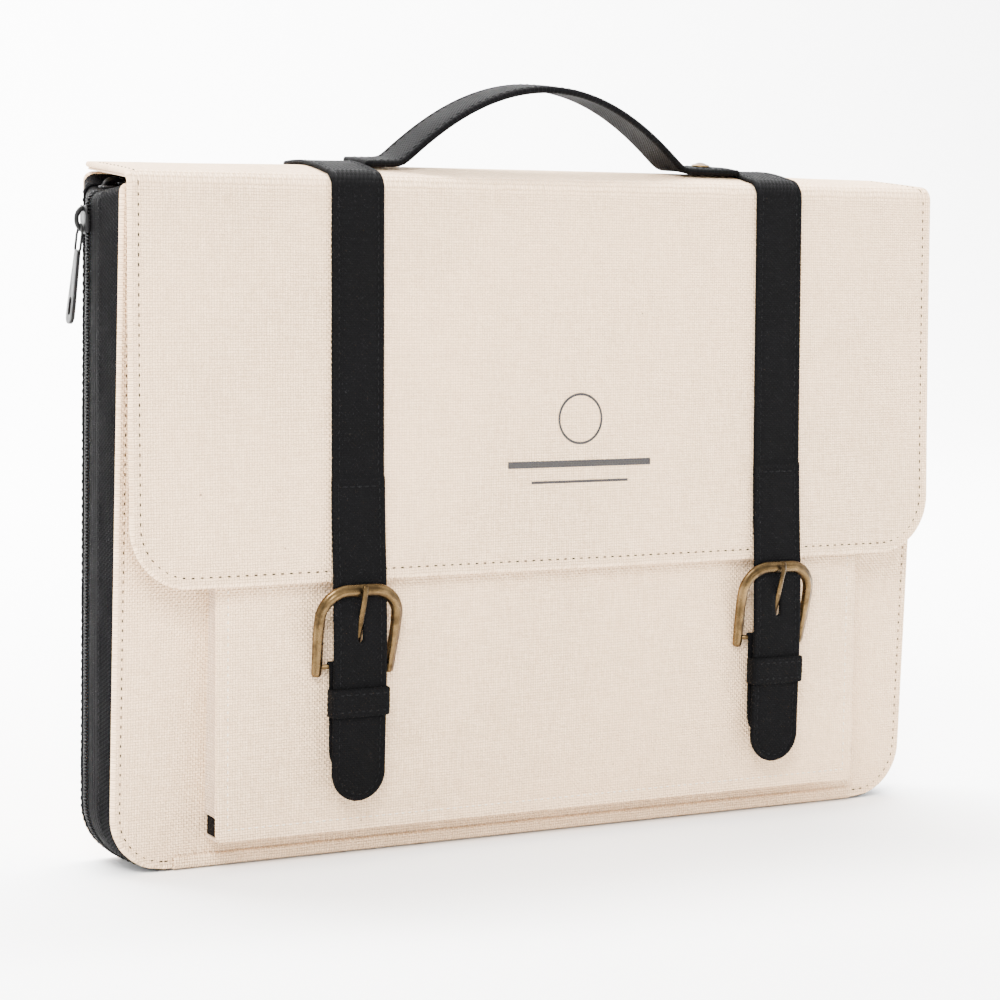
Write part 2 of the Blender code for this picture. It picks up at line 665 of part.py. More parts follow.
def make_pull(side):
    parent = FRAMES[f"pull_{side}"]
    wide = LOOP_HALF_WIDTH
    corner = rounded_rectangle((0, -wide), (LOOP_LENGTH, wide), 0.0009, 0.0009, 2)
    loop = [(x, y, 0) for x, y in corner]
    tube(f"pull_loop_{side}", loop, LOOP_WIRE, "black_metal", parent, cyclic=True)
    end = TAB_LENGTH - TAB_HALF_WIDTH
    outline = [(0.0012, -0.0018), (0.004, -0.0022)]
    outline += arc((end, 0), TAB_HALF_WIDTH, -pi / 2, pi / 2, 10)
    outline += [(0.004, 0.0022), (0.0012, 0.0018)]
    slot_end = TAB_LENGTH - 0.0035
    slot = rounded_rectangle((slot_end - 0.008, -0.0015), (slot_end, 0.0015), 0.0012, 0.0012, 3)
    layer = (-TAB_THICKNESS / 2, TAB_THICKNESS / 2)
    name = f"pull_tab_{side}"
    tab = to_mesh(plate(name, [outline, slot[::-1]], layer, "black_metal", parent, (LOOP_LENGTH, 0, 0)))
    barrel = cylinder_mesh("barrel", LOOP_WIRE + 0.0010, 0.0038, "Y", segments=16)
    bore = cylinder_mesh("bore", LOOP_WIRE + 0.0003, 0.006, "Y", segments=16)
    place = (LOOP_LENGTH, 0, 0)
    combine(tab, cutter(f"barrel_{side}", barrel, parent, place), "UNION")
    combine(tab, cutter(f"bore_{side}", bore, parent, place), "DIFFERENCE")


def make_frames():
    """The empties on the joints, from which every body hangs."""
    frames = {}
    frames["back"] = frame("case", (0, 0, 0))
    # The front half's sheets are drawn in the case's own axes, its panels in the leaning hinge's.
    frames["front"] = frames["back"]
    lean_out = (0, -cos(FRONT_LEAN), -sin(FRONT_LEAN))
    hinge_y = -BASE_HALF_DEPTH
    frames["front_hinge"] = frame("front_hinge", (0, hinge_y, HINGE_Z), (1, 0, 0), lean_out)
    seam_up = (0, -sin(TOP_SLOPE), cos(TOP_SLOPE))
    frames["flap_seam"] = frame("flap_seam", (0, SEAM_Y, SEAM_Z), (1, 0, 0), seam_up)
    fold_y = SEAM_Y - TOP_DEPTH * cos(TOP_SLOPE)
    fold_z = SEAM_Z - TOP_DEPTH * sin(TOP_SLOPE)
    flap_out = (0, -cos(FLAP_TILT), sin(FLAP_TILT))
    frames["flap_fold"] = frame("flap_fold", (0, fold_y, fold_z), (1, 0, 0), flap_out)
    for side, x in STRAP_X.items():
        bar = (x, -BUCKLE_BAR_DROP, BUCKLE_BAR_OUT)
        for name, tilt in (("buckle", BUCKLE_TILT), ("prong", PRONG_TILT)):
            out = (0, -sin(tilt), cos(tilt))
            pivot_name = f"{name}_pivot_{side}"
            frames[f"{name}_{side}"] = frame(pivot_name, bar, (1, 0, 0), out, frames["flap_fold"])
    rest = FLAP_CANVAS[1] + GAP + HANDLE_THICKNESS / 2 + handle_centre(HANDLE_CUT)
    place = (HANDLE_X, HANDLE_Y, rest)
    frames["handle_pivot"] = frame("handle_pivot", place, parent=frames["flap_seam"])
    left_place = (-ZIP_HALF_WIDTH, 0, SLIDER_LEFT_Z)
    frames["slider_left"] = frame("slider_track_left", left_place, (0, 0, -1), (-1, 0, 0))
    frames["slider_top"] = frame("slider_track_top", (SLIDER_TOP_X, 0, ZIP_TOP), (1, 0, 0), (0, 0, 1))
    for side, tilt in (("left", PULL_LEFT_TILT), ("top", 0.0)):
        pivot = (PULL_PIVOT_X, 0, PULL_PIVOT_Z)
        along = (cos(tilt), 0, sin(tilt))
        out = (-sin(tilt), 0, cos(tilt))
        frames[f"pull_{side}"] = frame(f"pull_pivot_{side}", pivot, along, out, frames[f"slider_{side}"])
    return frames


FRAMES = make_frames()
make_back_shell()
make_front_shell()
make_pocket()
make_flap_top()
make_handle()
make_flap_front()
for strap_side in STRAP_X:
    make_prong(strap_side)
for zip_side in ("left", "top"):
    make_slider(zip_side)
    make_pull(zip_side)
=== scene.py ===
"""The looks of the portfolio case, built over its CAD frame.

Every sheet is a closed cloth with rounded edges, laid over a surface that is worked out from the
frame: the front panel, the back panel, the pocket, the flap from its seam over the fold, the gusset
between the panels' edges and the zip's path. Places on a surface are given as (across, along, off).
"""

import json
from math import atan2, cos, hypot, pi, radians, sin, sqrt, tan

import bmesh
import bpy
import numpy as np
from mathutils import Matrix, Vector


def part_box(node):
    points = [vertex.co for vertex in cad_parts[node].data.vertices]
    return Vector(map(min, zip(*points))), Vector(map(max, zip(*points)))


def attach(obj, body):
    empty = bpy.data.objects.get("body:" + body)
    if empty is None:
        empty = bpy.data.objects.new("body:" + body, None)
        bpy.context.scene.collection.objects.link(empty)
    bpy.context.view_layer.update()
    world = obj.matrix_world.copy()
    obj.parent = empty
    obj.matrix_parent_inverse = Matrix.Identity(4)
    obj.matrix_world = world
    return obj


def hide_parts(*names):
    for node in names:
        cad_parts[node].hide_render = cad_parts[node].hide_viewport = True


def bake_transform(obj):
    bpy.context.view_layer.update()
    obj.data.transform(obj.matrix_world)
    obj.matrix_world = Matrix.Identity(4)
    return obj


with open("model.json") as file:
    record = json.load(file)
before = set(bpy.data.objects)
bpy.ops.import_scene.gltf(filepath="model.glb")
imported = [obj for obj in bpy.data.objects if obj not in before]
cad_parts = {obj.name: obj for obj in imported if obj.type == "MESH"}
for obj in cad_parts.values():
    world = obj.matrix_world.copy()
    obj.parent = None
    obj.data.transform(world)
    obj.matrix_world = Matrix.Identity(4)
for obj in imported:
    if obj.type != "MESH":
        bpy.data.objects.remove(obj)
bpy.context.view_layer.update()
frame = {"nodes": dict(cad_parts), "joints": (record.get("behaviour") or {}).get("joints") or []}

# ---------------------------------------------------------------- sizes worked out from the frame
JOINTS = {joint["name"]: joint for joint in frame["joints"]}
SEAM = Vector(JOINTS["flap_open"]["pos_m"])
FOLD = Vector(JOINTS["flap_fold"]["pos_m"])
FOOT = Vector(JOINTS["front_open"]["pos_m"])
BAR = {side: Vector(JOINTS[f"prong_{side}_lift"]["pos_m"]) for side in ("left", "right")}
STRAP_X = {side: BAR[side].x for side in BAR}
PANEL_LOW, PANEL_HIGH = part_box("front_canvas")
BACK_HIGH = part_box("back_canvas")[1]
FLAP_LOW, FLAP_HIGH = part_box("flap_canvas")
POCKET_LOW, POCKET_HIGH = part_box("pocket_front")
TONGUE_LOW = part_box("tongue_left")[0]
CHAPE_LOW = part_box("chape_left")[0]
STRAP_LOW, STRAP_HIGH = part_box("strap_left")
KEEPER_LOW, KEEPER_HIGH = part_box("keeper_left")
GRIP_LOW, GRIP_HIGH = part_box("handle_grip")
ROOT_LEFT, ROOT_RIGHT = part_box("handle_root_left"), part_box("handle_root_right")
BASE_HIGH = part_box("base_canvas")[1]
COIL_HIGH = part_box("zip_coil_front")[1]

PANEL_HALF = PANEL_HIGH.x
PANEL_CORNER = 0.025
TOP_CORNER = 0.004
LEAN = atan2(-PANEL_LOW.y - BACK_HIGH.y, PANEL_HIGH.z)
PANEL_UP = Vector((0, -sin(LEAN), cos(LEAN)))
PANEL_OUT = Vector((0, -cos(LEAN), -sin(LEAN)))
FRONT_HEIGHT = (PANEL_HIGH.z - FOOT.z) / cos(LEAN)
BACK_HEIGHT = BACK_HIGH.z
NOTCH_X = BASE_HIGH.x

TOP_SPAN = (FOLD - SEAM).length
TOP_ALONG = (FOLD - SEAM).normalized()
TOP_OUT = Vector((0, TOP_ALONG.z, -TOP_ALONG.y))
FLAP_TILT = radians(1.6)
FLAP_DOWN = Vector((0, -sin(FLAP_TILT), -cos(FLAP_TILT)))
FLAP_OUT = Vector((0, -cos(FLAP_TILT), sin(FLAP_TILT)))
FOLD_RADIUS = 0.003
FOLD_TURN = TOP_OUT.angle(FLAP_OUT)
FOLD_REACH = FOLD_RADIUS * tan(FOLD_TURN / 2)
BEND = FOLD_RADIUS * FOLD_TURN - 2 * FOLD_REACH
FLAP_DROP = (FOLD.z - FLAP_LOW.z) / cos(FLAP_TILT)
FOLD_PLACE = TOP_SPAN + BEND
FLAP_END = FOLD_PLACE + FLAP_DROP
FLAP_HALF = FLAP_HIGH.x
FLAP_CORNER = 0.027
FLAP_LINING = (0.0002, 0.0012)
FLAP_FACE = (0.0013, 0.0036)
STRAP_LAYER = (0.0038, 0.0057)
STRAP_HALF = STRAP_HIGH.x - STRAP_X["left"]
SPLICE = FOLD_PLACE + (FOLD.z - STRAP_LOW.z) / cos(FLAP_TILT)
TONGUE_END = FOLD_PLACE + (FOLD.z - TONGUE_LOW.z) / cos(FLAP_TILT)
CHAPE_END = FOLD_PLACE + (FOLD.z - CHAPE_LOW.z) / cos(FLAP_TILT)
KEEPER_MIDDLE = FOLD_PLACE + (FOLD.z - (KEEPER_LOW.z + KEEPER_HIGH.z) / 2) / cos(FLAP_TILT)
BAR_DROP = FOLD_PLACE + (FOLD.z - BAR["left"].z) / cos(FLAP_TILT)

POCKET_HALF = (POCKET_HIGH.x - POCKET_LOW.x) / 2
POCKET_X = (POCKET_HIGH.x + POCKET_LOW.x) / 2
POCKET_FOOT = POCKET_LOW.z - FOOT.z
POCKET_HEIGHT = POCKET_HIGH.z - POCKET_LOW.z
POCKET_DEPTH = 0.0138
POCKET_MOUTH = 0.0075

COIL_RADIUS = 0.0009
ZIP_HALF = COIL_HIGH.x - COIL_RADIUS
ZIP_TOP = COIL_HIGH.z - COIL_RADIUS
ZIP_CORNER = 0.029
ZIP_TOP_CORNER = 0.005
RIM_FOOT = 0.0009
STITCH = 0.0041
STRAP_STITCH = 0.0034
STRAP_SEAM_INSET = 0.0031
FLAP_SEAM_INSET = 0.0047
PANEL_SEAM_INSET = 0.0038


# ---------------------------------------------------------------- materials
class Graph:
    """A material's node tree, with short names for the nodes that the finishes share."""

    def __init__(self, name):
        self.material = bpy.data.materials.new(name)
        self.material.use_nodes = True
        self.tree = self.material.node_tree
        self.shader = self.tree.nodes["Principled BSDF"]
        self.place = self.node("ShaderNodeTexCoord").outputs["Object"]
        self.cloth = self.node("ShaderNodeUVMap").outputs["UV"]

    def node(self, kind, **settings):
        made = self.tree.nodes.new(kind)
        for name, value in settings.items():
            setattr(made, name, value)
        return made

    def put(self, socket, value):
        if isinstance(value, bpy.types.NodeSocket):
            self.tree.links.new(value, socket)
        else:
            socket.default_value = value

    def math(self, operation, a, b=0.0, c=0.0, clamp=False):
        made = self.node("ShaderNodeMath", operation=operation, use_clamp=clamp)
        for socket, value in zip(made.inputs, (a, b, c)):
            self.put(socket, value)
        return made.outputs[0]

    def noise(self, scale, vector=None, detail=3.0, rough=0.55, stretch=None):
        source = self.place if vector is None else vector
        if stretch:
            mapping = self.node("ShaderNodeMapping")
            self.put(mapping.inputs["Vector"], source)
            mapping.inputs["Scale"].default_value = stretch
            source = mapping.outputs[0]
        made = self.node("ShaderNodeTexNoise")
        self.put(made.inputs["Vector"], source)
        made.inputs["Scale"].default_value = scale
        made.inputs["Detail"].default_value = detail
        made.inputs["Roughness"].default_value = rough
        return made.outputs["Fac"]

    def spread(self, value, low, high, to_low=0.0, to_high=1.0):
        made = self.node("ShaderNodeMapRange")
        for socket, item in zip(made.inputs, (value, low, high, to_low, to_high)):
            self.put(socket, item)
        return made.outputs[0]

    def mix(self, factor, a, b):
        made = self.node("ShaderNodeMix", data_type="RGBA")
        self.put(made.inputs["Factor"], factor)
        self.put(made.inputs[6], a)
        self.put(made.inputs[7], b)
        return made.outputs[2]

    def bump(self, height, distance, strength=1.0, normal=None):
        made = self.node("ShaderNodeBump")
        self.put(made.inputs["Height"], height)
        made.inputs["Distance"].default_value = distance
        made.inputs["Strength"].default_value = strength
        if normal:
            self.put(made.inputs["Normal"], normal)
        return made.outputs["Normal"]

    def weave(self, pitch, waver=0.12):
        """Height of a plain weave over the cloth: a warp thread where it is on top, else a weft one."""
        split = self.node("ShaderNodeSeparateXYZ")
        self.put(split.inputs[0], self.cloth)
        drift = self.noise(60.0, self.cloth, detail=2.0)
        shift = self.spread(drift, 0.3, 0.7, -waver, waver)
        across = self.math("ADD", self.math("DIVIDE", split.outputs[0], pitch), shift)
        along = self.math("ADD", self.math("DIVIDE", split.outputs[1], pitch), shift)
        warp = self.math("SINE", self.math("MULTIPLY", across, pi))
        weft = self.math("SINE", self.math("MULTIPLY", along, pi))
        on_top = self.math("GREATER_THAN", self.math("MULTIPLY", warp, weft), 0.0)
        warp_height = self.math("POWER", self.math("ABSOLUTE", warp), 0.6)
        weft_height = self.math("POWER", self.math("ABSOLUTE", weft), 0.6)
        return self.math(
            "ADD",
            self.math("MULTIPLY", on_top, warp_height),
            self.math("MULTIPLY", self.math("SUBTRACT", 1.0, on_top), weft_height),
        )

    def finish(self, colour, roughness, normal, **fixed):
        self.put(self.shader.inputs["Base Color"], colour)
        self.put(self.shader.inputs["Roughness"], roughness)
        self.put(self.shader.inputs["Normal"], normal)
        for name, value in fixed.items():
            self.shader.inputs[name.replace("_", " ")].default_value = value
        return self.material


def rgb(red, green, blue):
    return (red, green, blue, 1.0)


def canvas_finish(name, tone, pitch=0.0012):
    """Natural canvas: slubby plain weave with painted shade between its threads, slightly uneven dye, a few
    dark seed flecks.
    """
    g = Graph(name)
    weave = g.weave(pitch)
    slub_across = g.noise(1.0, g.cloth, detail=2.0, stretch=(90.0, 1400.0, 1.0))
    slub_along = g.noise(1.0, g.cloth, detail=2.0, stretch=(1400.0, 90.0, 1.0))
    slub = g.math("MULTIPLY", g.math("ADD", slub_across, slub_along), 0.5)
    patch = g.noise(9.0, detail=4.0)
    light = rgb(*tone)
    # dark is both the painted shade between the threads and the real darker tone of the slubs and mottle.
    dark = rgb(tone[0] * 0.50, tone[1] * 0.43, tone[2] * 0.36)
    warm = rgb(tone[0] * 1.02, tone[1] * 0.965, tone[2] * 0.92)
    # Painted shade: where the weave lies low, between the threads, the colour goes towards dark.
    colour = g.mix(g.spread(weave, 0.2, 0.85, 0.85, 0.0), light, dark)
    colour = g.mix(g.spread(slub, 0.40, 0.60, 0.0, 0.42), colour, dark)
    mottle = g.noise(1.0, g.cloth, detail=3.0, rough=0.7, stretch=(520.0, 520.0, 1.0))
    colour = g.mix(g.spread(mottle, 0.48, 0.66, 0.0, 0.34), colour, dark)
    colour = g.mix(g.spread(patch, 0.35, 0.7, 0.0, 0.6), colour, warm)
    fleck = g.node("ShaderNodeTexVoronoi")
    g.put(fleck.inputs["Vector"], g.cloth)
    fleck.inputs["Scale"].default_value = 62.0
    near = g.math("LESS_THAN", fleck.outputs["Distance"], 0.030)
    few = g.math("GREATER_THAN", g.noise(23.0, detail=1.0), 0.56)
    colour = g.mix(g.math("MULTIPLY", g.math("MULTIPLY", near, few), 0.75), colour, rgb(0.16, 0.10, 0.06))
    height = g.math("ADD", g.math("MULTIPLY", weave, 0.8), g.math("MULTIPLY", slub, 0.8))
    normal = g.bump(height, 0.0010, 1.0)
    normal = g.bump(g.noise(28.0, detail=3.0), 0.0018, 0.26, normal)
    roughness = g.spread(slub, 0.3, 0.7, 0.82, 0.95)
    fixed = {"Sheen_Weight": 0.12, "Sheen_Roughness": 0.5, "Specular_IOR_Level": 0.25}
    return g.finish(colour, roughness, normal, **fixed)


def black_cloth(name, tone, pitch, fuzz=0.5):
    """Matt black cotton: plain weave with painted shade between its threads, lint along the threads and a
    slightly faded face.
    """
    g = Graph(name)
    weave = g.weave(pitch, 0.08)
    lint = g.noise(1.0, g.cloth, detail=3.0, stretch=(260.0, 1500.0, 1.0))
    fade = g.noise(38.0, detail=4.0)
    base = rgb(*tone)
    faded = rgb(tone[0] * 2.2, tone[1] * 2.15, tone[2] * 2.2)
    deep = rgb(tone[0] * 0.35, tone[1] * 0.35, tone[2] * 0.38)
    # Painted shade: where the weave lies low, between the threads, the colour goes towards deep.
    colour = g.mix(g.spread(weave, 0.15, 0.95, 0.8, 0.0), base, deep)
    colour = g.mix(g.spread(fade, 0.4, 0.75, 0.0, fuzz), colour, faded)
    colour = g.mix(g.spread(lint, 0.68, 0.82, 0.0, 0.2), colour, rgb(0.03, 0.03, 0.032))
    height = g.math("ADD", weave, g.math("MULTIPLY", lint, 0.7))
    normal = g.bump(height, 0.00025, 0.9)
    normal = g.bump(g.noise(46.0, detail=3.0), 0.0012, 0.25, normal)
    roughness = g.spread(fade, 0.3, 0.7, 0.78, 0.93)
    fixed = {"Sheen_Weight": 0.006, "Sheen_Roughness": 0.4, "Specular_IOR_Level": 0.05}
    return g.finish(colour, roughness, normal, **fixed)


def tape_finish(name):
    """Zip tape: a tight knitted rib that runs with the zip, a little shinier than the canvas, with painted
    highlight on the rib's raised tops and painted shade in its grooves.
    """
    g = Graph(name)
    split = g.node("ShaderNodeSeparateXYZ")
    g.put(split.inputs[0], g.cloth)
    rib = g.math("SINE", g.math("MULTIPLY", split.outputs[1], 2 * pi / 0.0011))
    course = g.math("SINE", g.math("MULTIPLY", split.outputs[0], 2 * pi / 0.0008))
    knit = g.math("ADD", rib, g.math("MULTIPLY", course, 0.5))
    wear = g.noise(70.0, detail=3.0)
    # Painted highlight and shade: the knit's raised ribs are mixed lighter, its grooves darker.
    colour = g.mix(g.spread(knit, -1.2, 1.2, 0.0, 0.7), rgb(0.0018, 0.0018, 0.002), rgb(0.006, 0.006, 0.0065))
    colour = g.mix(g.spread(wear, 0.5, 0.8, 0.0, 0.4), colour, rgb(0.010, 0.010, 0.011))
    normal = g.bump(knit, 0.00018, 0.8)
    roughness = g.spread(wear, 0.3, 0.7, 0.7, 0.88)
    return g.finish(colour, roughness, normal, Specular_IOR_Level=0.08)


def nylon_finish(name):
    """Coil nylon, polished on top where the slider rubs it."""
    g = Graph(name)
    rub = g.noise(160.0, detail=3.0)
    fine = g.noise(900.0, detail=2.0)
    colour = g.mix(g.spread(rub, 0.35, 0.7), rgb(0.002, 0.002, 0.0022), rgb(0.008, 0.008, 0.0085))
    normal = g.bump(fine, 0.00008, 0.5)
    return g.finish(colour, g.spread(rub, 0.3, 0.7, 0.6, 0.8), normal, Specular_IOR_Level=0.06)


def board_finish(name):
    """Grey-brown millboard with short fibres."""
    g = Graph(name)
    fibre = g.noise(1.0, detail=4.0, stretch=(700.0, 180.0, 700.0))
    colour = g.mix(g.spread(fibre, 0.3, 0.7), rgb(0.36, 0.31, 0.25), rgb(0.52, 0.46, 0.38))
    normal = g.bump(fibre, 0.0002, 0.5)
    return g.finish(colour, g.spread(fibre, 0.3, 0.7, 0.8, 0.95), normal)


def brass_finish(name):
    """Antique brass: warm metal on the raised, rubbed parts, brown tarnish in the rest."""
    g = Graph(name)
    pointy = g.node("ShaderNodeNewGeometry").outputs["Pointiness"]
    tarnish = g.noise(210.0, detail=5.0, rough=0.65)
    cloud = g.noise(70.0, detail=3.0)
    raised = g.spread(pointy, 0.495, 0.56)
    keep = g.math("ADD", g.math("MULTIPLY", raised, 0.6), g.spread(cloud, 0.35, 0.7, 0.0, 0.55), clamp=True)
    colour = g.mix(keep, rgb(0.020, 0.0125, 0.0055), rgb(0.150, 0.095, 0.041))
    colour = g.mix(g.spread(tarnish, 0.52, 0.68, 0.0, 0.7), colour, rgb(0.014, 0.009, 0.0045))
    scratch = g.noise(1.0, detail=4.0, stretch=(1600.0, 1600.0, 240.0))
    normal = g.bump(g.math("ADD", tarnish, g.math("MULTIPLY", scratch, 0.4)), 0.00012, 0.5)
    dull = g.spread(tarnish, 0.35, 0.65, 0.20, 0.38)
    roughness = g.math("ADD", dull, g.spread(scratch, 0.4, 0.7, 0.0, 0.08))
    return g.finish(colour, roughness, normal, Metallic=1.0)


def lacquer_finish(name):
    """Black lacquer on zinc, scuffed to dark grey metal in small spots."""
    g = Graph(name)
    scuff = g.noise(420.0, detail=5.0, rough=0.7)
    cloud = g.noise(120.0, detail=2.0)
    worn = g.math("MULTIPLY", g.spread(scuff, 0.60, 0.66), g.spread(cloud, 0.45, 0.6))
    colour = g.mix(worn, rgb(0.0022, 0.0022, 0.0025), rgb(0.03, 0.029, 0.028))
    normal = g.bump(scuff, 0.00006, 0.4)
    g.put(g.shader.inputs["Metallic"], g.spread(worn, 0.0, 1.0, 0.0, 0.9))
    return g.finish(colour, g.spread(scuff, 0.3, 0.7, 0.32, 0.50), normal, Specular_IOR_Level=0.22)


def thread_finish(name, tone, shine=0.55):
    """Twisted sewing thread, with painted highlight where its twist stands high."""
    g = Graph(name)
    twist = g.noise(1.0, detail=2.0, stretch=(3200.0, 3200.0, 3200.0))
    bright = rgb(min(1.0, tone[0] * 2.1), min(1.0, tone[1] * 2.1), min(1.0, tone[2] * 2.1))
    # Painted highlight: where the twist stands high the colour goes towards bright.
    colour = g.mix(g.spread(twist, 0.35, 0.65), rgb(*tone), bright)
    normal = g.bump(twist, 0.0001, 0.8)
    return g.finish(colour, g.spread(twist, 0.3, 0.7, shine, shine + 0.2), normal, Specular_IOR_Level=0.08)


def ink_finish(name):
    """Screen-printed ink: soft black that lets some threads through."""
    g = Graph(name)
    weave = g.weave(0.00085)
    thin = g.noise(300.0, detail=4.0)
    gap = g.math("MULTIPLY", g.spread(weave, 0.0, 0.35, 1.0, 0.0), g.spread(thin, 0.4, 0.7))
    colour = g.mix(g.math("MULTIPLY", gap, 0.8), rgb(0.016, 0.014, 0.014), rgb(0.30, 0.25, 0.20))
    return g.finish(colour, g.spread(thin, 0.3, 0.7, 0.75, 0.9), g.bump(weave, 0.0002, 0.8))


CREAM = (0.95, 0.69, 0.44)
MATERIALS = {
    "canvas": canvas_finish("natural_canvas", CREAM),
    # A darker copy of the same cream canvas: painted shade on the flap's underside and on the pocket's sides
    # and floor.
    "canvas_painted_shade": canvas_finish("natural_canvas_painted_shade", (0.82, 0.62, 0.44)),
    "webbing": black_cloth("black_canvas", (0.0015, 0.0015, 0.0017), 0.0010),
    "gusset": black_cloth("black_gusset_cloth", (0.0018, 0.0018, 0.0021), 0.0009, 0.35),
    "lining": black_cloth("black_lining", (0.0030, 0.0029, 0.0032), 0.0005, 0.25),
    "tape": tape_finish("zip_tape_knit"),
    "nylon": nylon_finish("zip_nylon"),
    "board": board_finish("stiffener_board"),
    "brass": brass_finish("antique_brass"),
    "black_metal": lacquer_finish("black_lacquer"),
    "thread": thread_finish("dark_thread", (0.010, 0.0065, 0.004)),
    "grey_thread": thread_finish("grey_thread", (0.0020, 0.0020, 0.0023)),
    "cream_thread": thread_finish("cream_thread", (0.50, 0.43, 0.36), 0.7),
    "ink": ink_finish("print_ink"),
}


# ---------------------------------------------------------------- surfaces
def sway(x, s):
    """The flap's gentle lift off the case: more towards its lower corners and edge."""
    drop = max(0.0, min(1.0, (s - FOLD_PLACE) / FLAP_DROP))
    side = abs(x) / FLAP_HALF
    ripple = 0.5 + 0.5 * sin(9.0 * x / FLAP_HALF + 0.7)
    return 0.0014 * drop ** 3 * side ** 3 + 0.0005 * drop ** 2 * ripple


def crown(x, s):
    """How far the flap's top is padded up, in its middle."""
    along = min(1.0, max(0.0, s / TOP_SPAN))
    return 0.0022 * sin(pi * along) * (1 - (x / FLAP_HALF) ** 4)


def flap(x, s, off):
    """The flap's surface: s runs from the back seam, over the fold, to the lower edge and past it."""
    fold_start = TOP_SPAN - FOLD_REACH
    fold_end = fold_start + FOLD_RADIUS * FOLD_TURN
    if s <= fold_start:
        rise = crown(x, s * TOP_SPAN / fold_start)
        return SEAM + Vector((x, 0, 0)) + TOP_ALONG * s + TOP_OUT * (off + rise)
    if s < fold_end:
        out = Matrix.Rotation((s - fold_start) / FOLD_RADIUS, 3, "X") @ TOP_OUT
        centre = FOLD - TOP_ALONG * FOLD_REACH - TOP_OUT * FOLD_RADIUS
        return centre + Vector((x, 0, 0)) + out * (FOLD_RADIUS + off)
    return FOLD + Vector((x, 0, 0)) + FLAP_DOWN * (s - FOLD_PLACE) + FLAP_OUT * (off + sway(x, s))


def front(x, up, off):
    swell = 0.0009 * (1 - (x / PANEL_HALF) ** 2) * sin(pi * min(1.0, up / FRONT_HEIGHT))
    return FOOT + Vector((x, 0, 0)) + PANEL_UP * up + PANEL_OUT * (off + swell)


def back(x, up, off):
    return Vector((x, BACK_HIGH.y + off, up))


def pocket_depth(up):
    return POCKET_DEPTH - (POCKET_DEPTH - POCKET_MOUTH) * up / POCKET_HEIGHT


def pocket(x, up, off):
    """The pocket's front, as heights above its bottom, and how far it stands off the panel."""
    across = (x - POCKET_X) / POCKET_HALF
    swell = 0.0007 * (1 - across ** 2) * sin(pi * min(1.0, max(0.0, up / POCKET_HEIGHT)))
    height = PANEL_UP * (POCKET_FOOT + up)
    return FOOT + Vector((x, 0, 0)) + height + PANEL_OUT * (pocket_depth(up) + off + swell)


def arc(centre, radius, start, end, steps):
    return [
        (centre[0] + radius * cos(start + (end - start) * i / steps),
         centre[1] + radius * sin(start + (end - start) * i / steps))
        for i in range(steps + 1)
    ]


def run(a, b, steps):
    """Points between two places, without either."""
    return [(a[0] + (b[0] - a[0]) * i / steps, a[1] + (b[1] - a[1]) * i / steps) for i in range(1, steps)]


def rim(half, top, foot_radius, top_radius):
    """Points round a panel's edge in the XZ plane, from the left notch over the top to the right one."""
    notch = (-NOTCH_X, RIM_FOOT)
    foot = arc((-half + foot_radius, RIM_FOOT + foot_radius), foot_radius, -pi / 2, -pi, 16)
    shoulder = arc((-half + top_radius, top - top_radius), top_radius, pi, pi / 2, 8)
    left = [notch] + foot + run(foot[-1], shoulder[0], 48) + shoulder
    left += run(shoulder[-1], (0.0, top), 36)
    return left + [(0.0, top)] + [(-x, z) for x, z in reversed(left)]

ZIP_RIM = rim(ZIP_HALF, ZIP_TOP, ZIP_CORNER, ZIP_TOP_CORNER)
SIDE = {"front": -1, "back": 1}


def panel_rim(side):
    height = PANEL_HIGH.z if side == "front" else BACK_HEIGHT
    inset = 0.0008
    return rim(PANEL_HALF - inset, height - inset, PANEL_CORNER - inset, TOP_CORNER)


def gusset_start(side, z):
    inner = 0.0018
    if side == "back":
        return BACK_HIGH.y - inner
    return FOOT.y - z * tan(LEAN) + inner


def gusset_line(side, y):
    """The points of the gusset's curve at one distance from the zip."""
    line = []
    for (panel_x, panel_z), (zip_x, zip_z) in zip(panel_rim(side), ZIP_RIM):
        start = gusset_start(side, panel_z)
        at = start if y is None else y
        blend = sin(pi / 2 * (start - at) / start)
        line.append(Vector((panel_x + (zip_x - panel_x) * blend, at, panel_z + (zip_z - panel_z) * blend)))
    return line


# ---------------------------------------------------------------- making pieces
def piece(name, vertices, faces, kind, uvs=None):
    mesh = bpy.data.meshes.new(name)
    mesh.from_pydata([tuple(v) for v in vertices], [], faces)
    mesh.materials.append(MATERIALS[kind])
    mesh.polygons.foreach_set("use_smooth", [True] * len(mesh.polygons))
    layer = mesh.uv_layers.new(name="cloth")
    if uvs is not None:
        loops = np.empty(len(mesh.loops), dtype=np.int32)
        mesh.loops.foreach_get("vertex_index", loops)
        layer.data.foreach_set("uv", np.asarray(uvs, dtype=np.float32)[loops].ravel())
    mesh.update()
    obj = bpy.data.objects.new(name, mesh)
    bpy.context.scene.collection.objects.link(obj)
    return obj


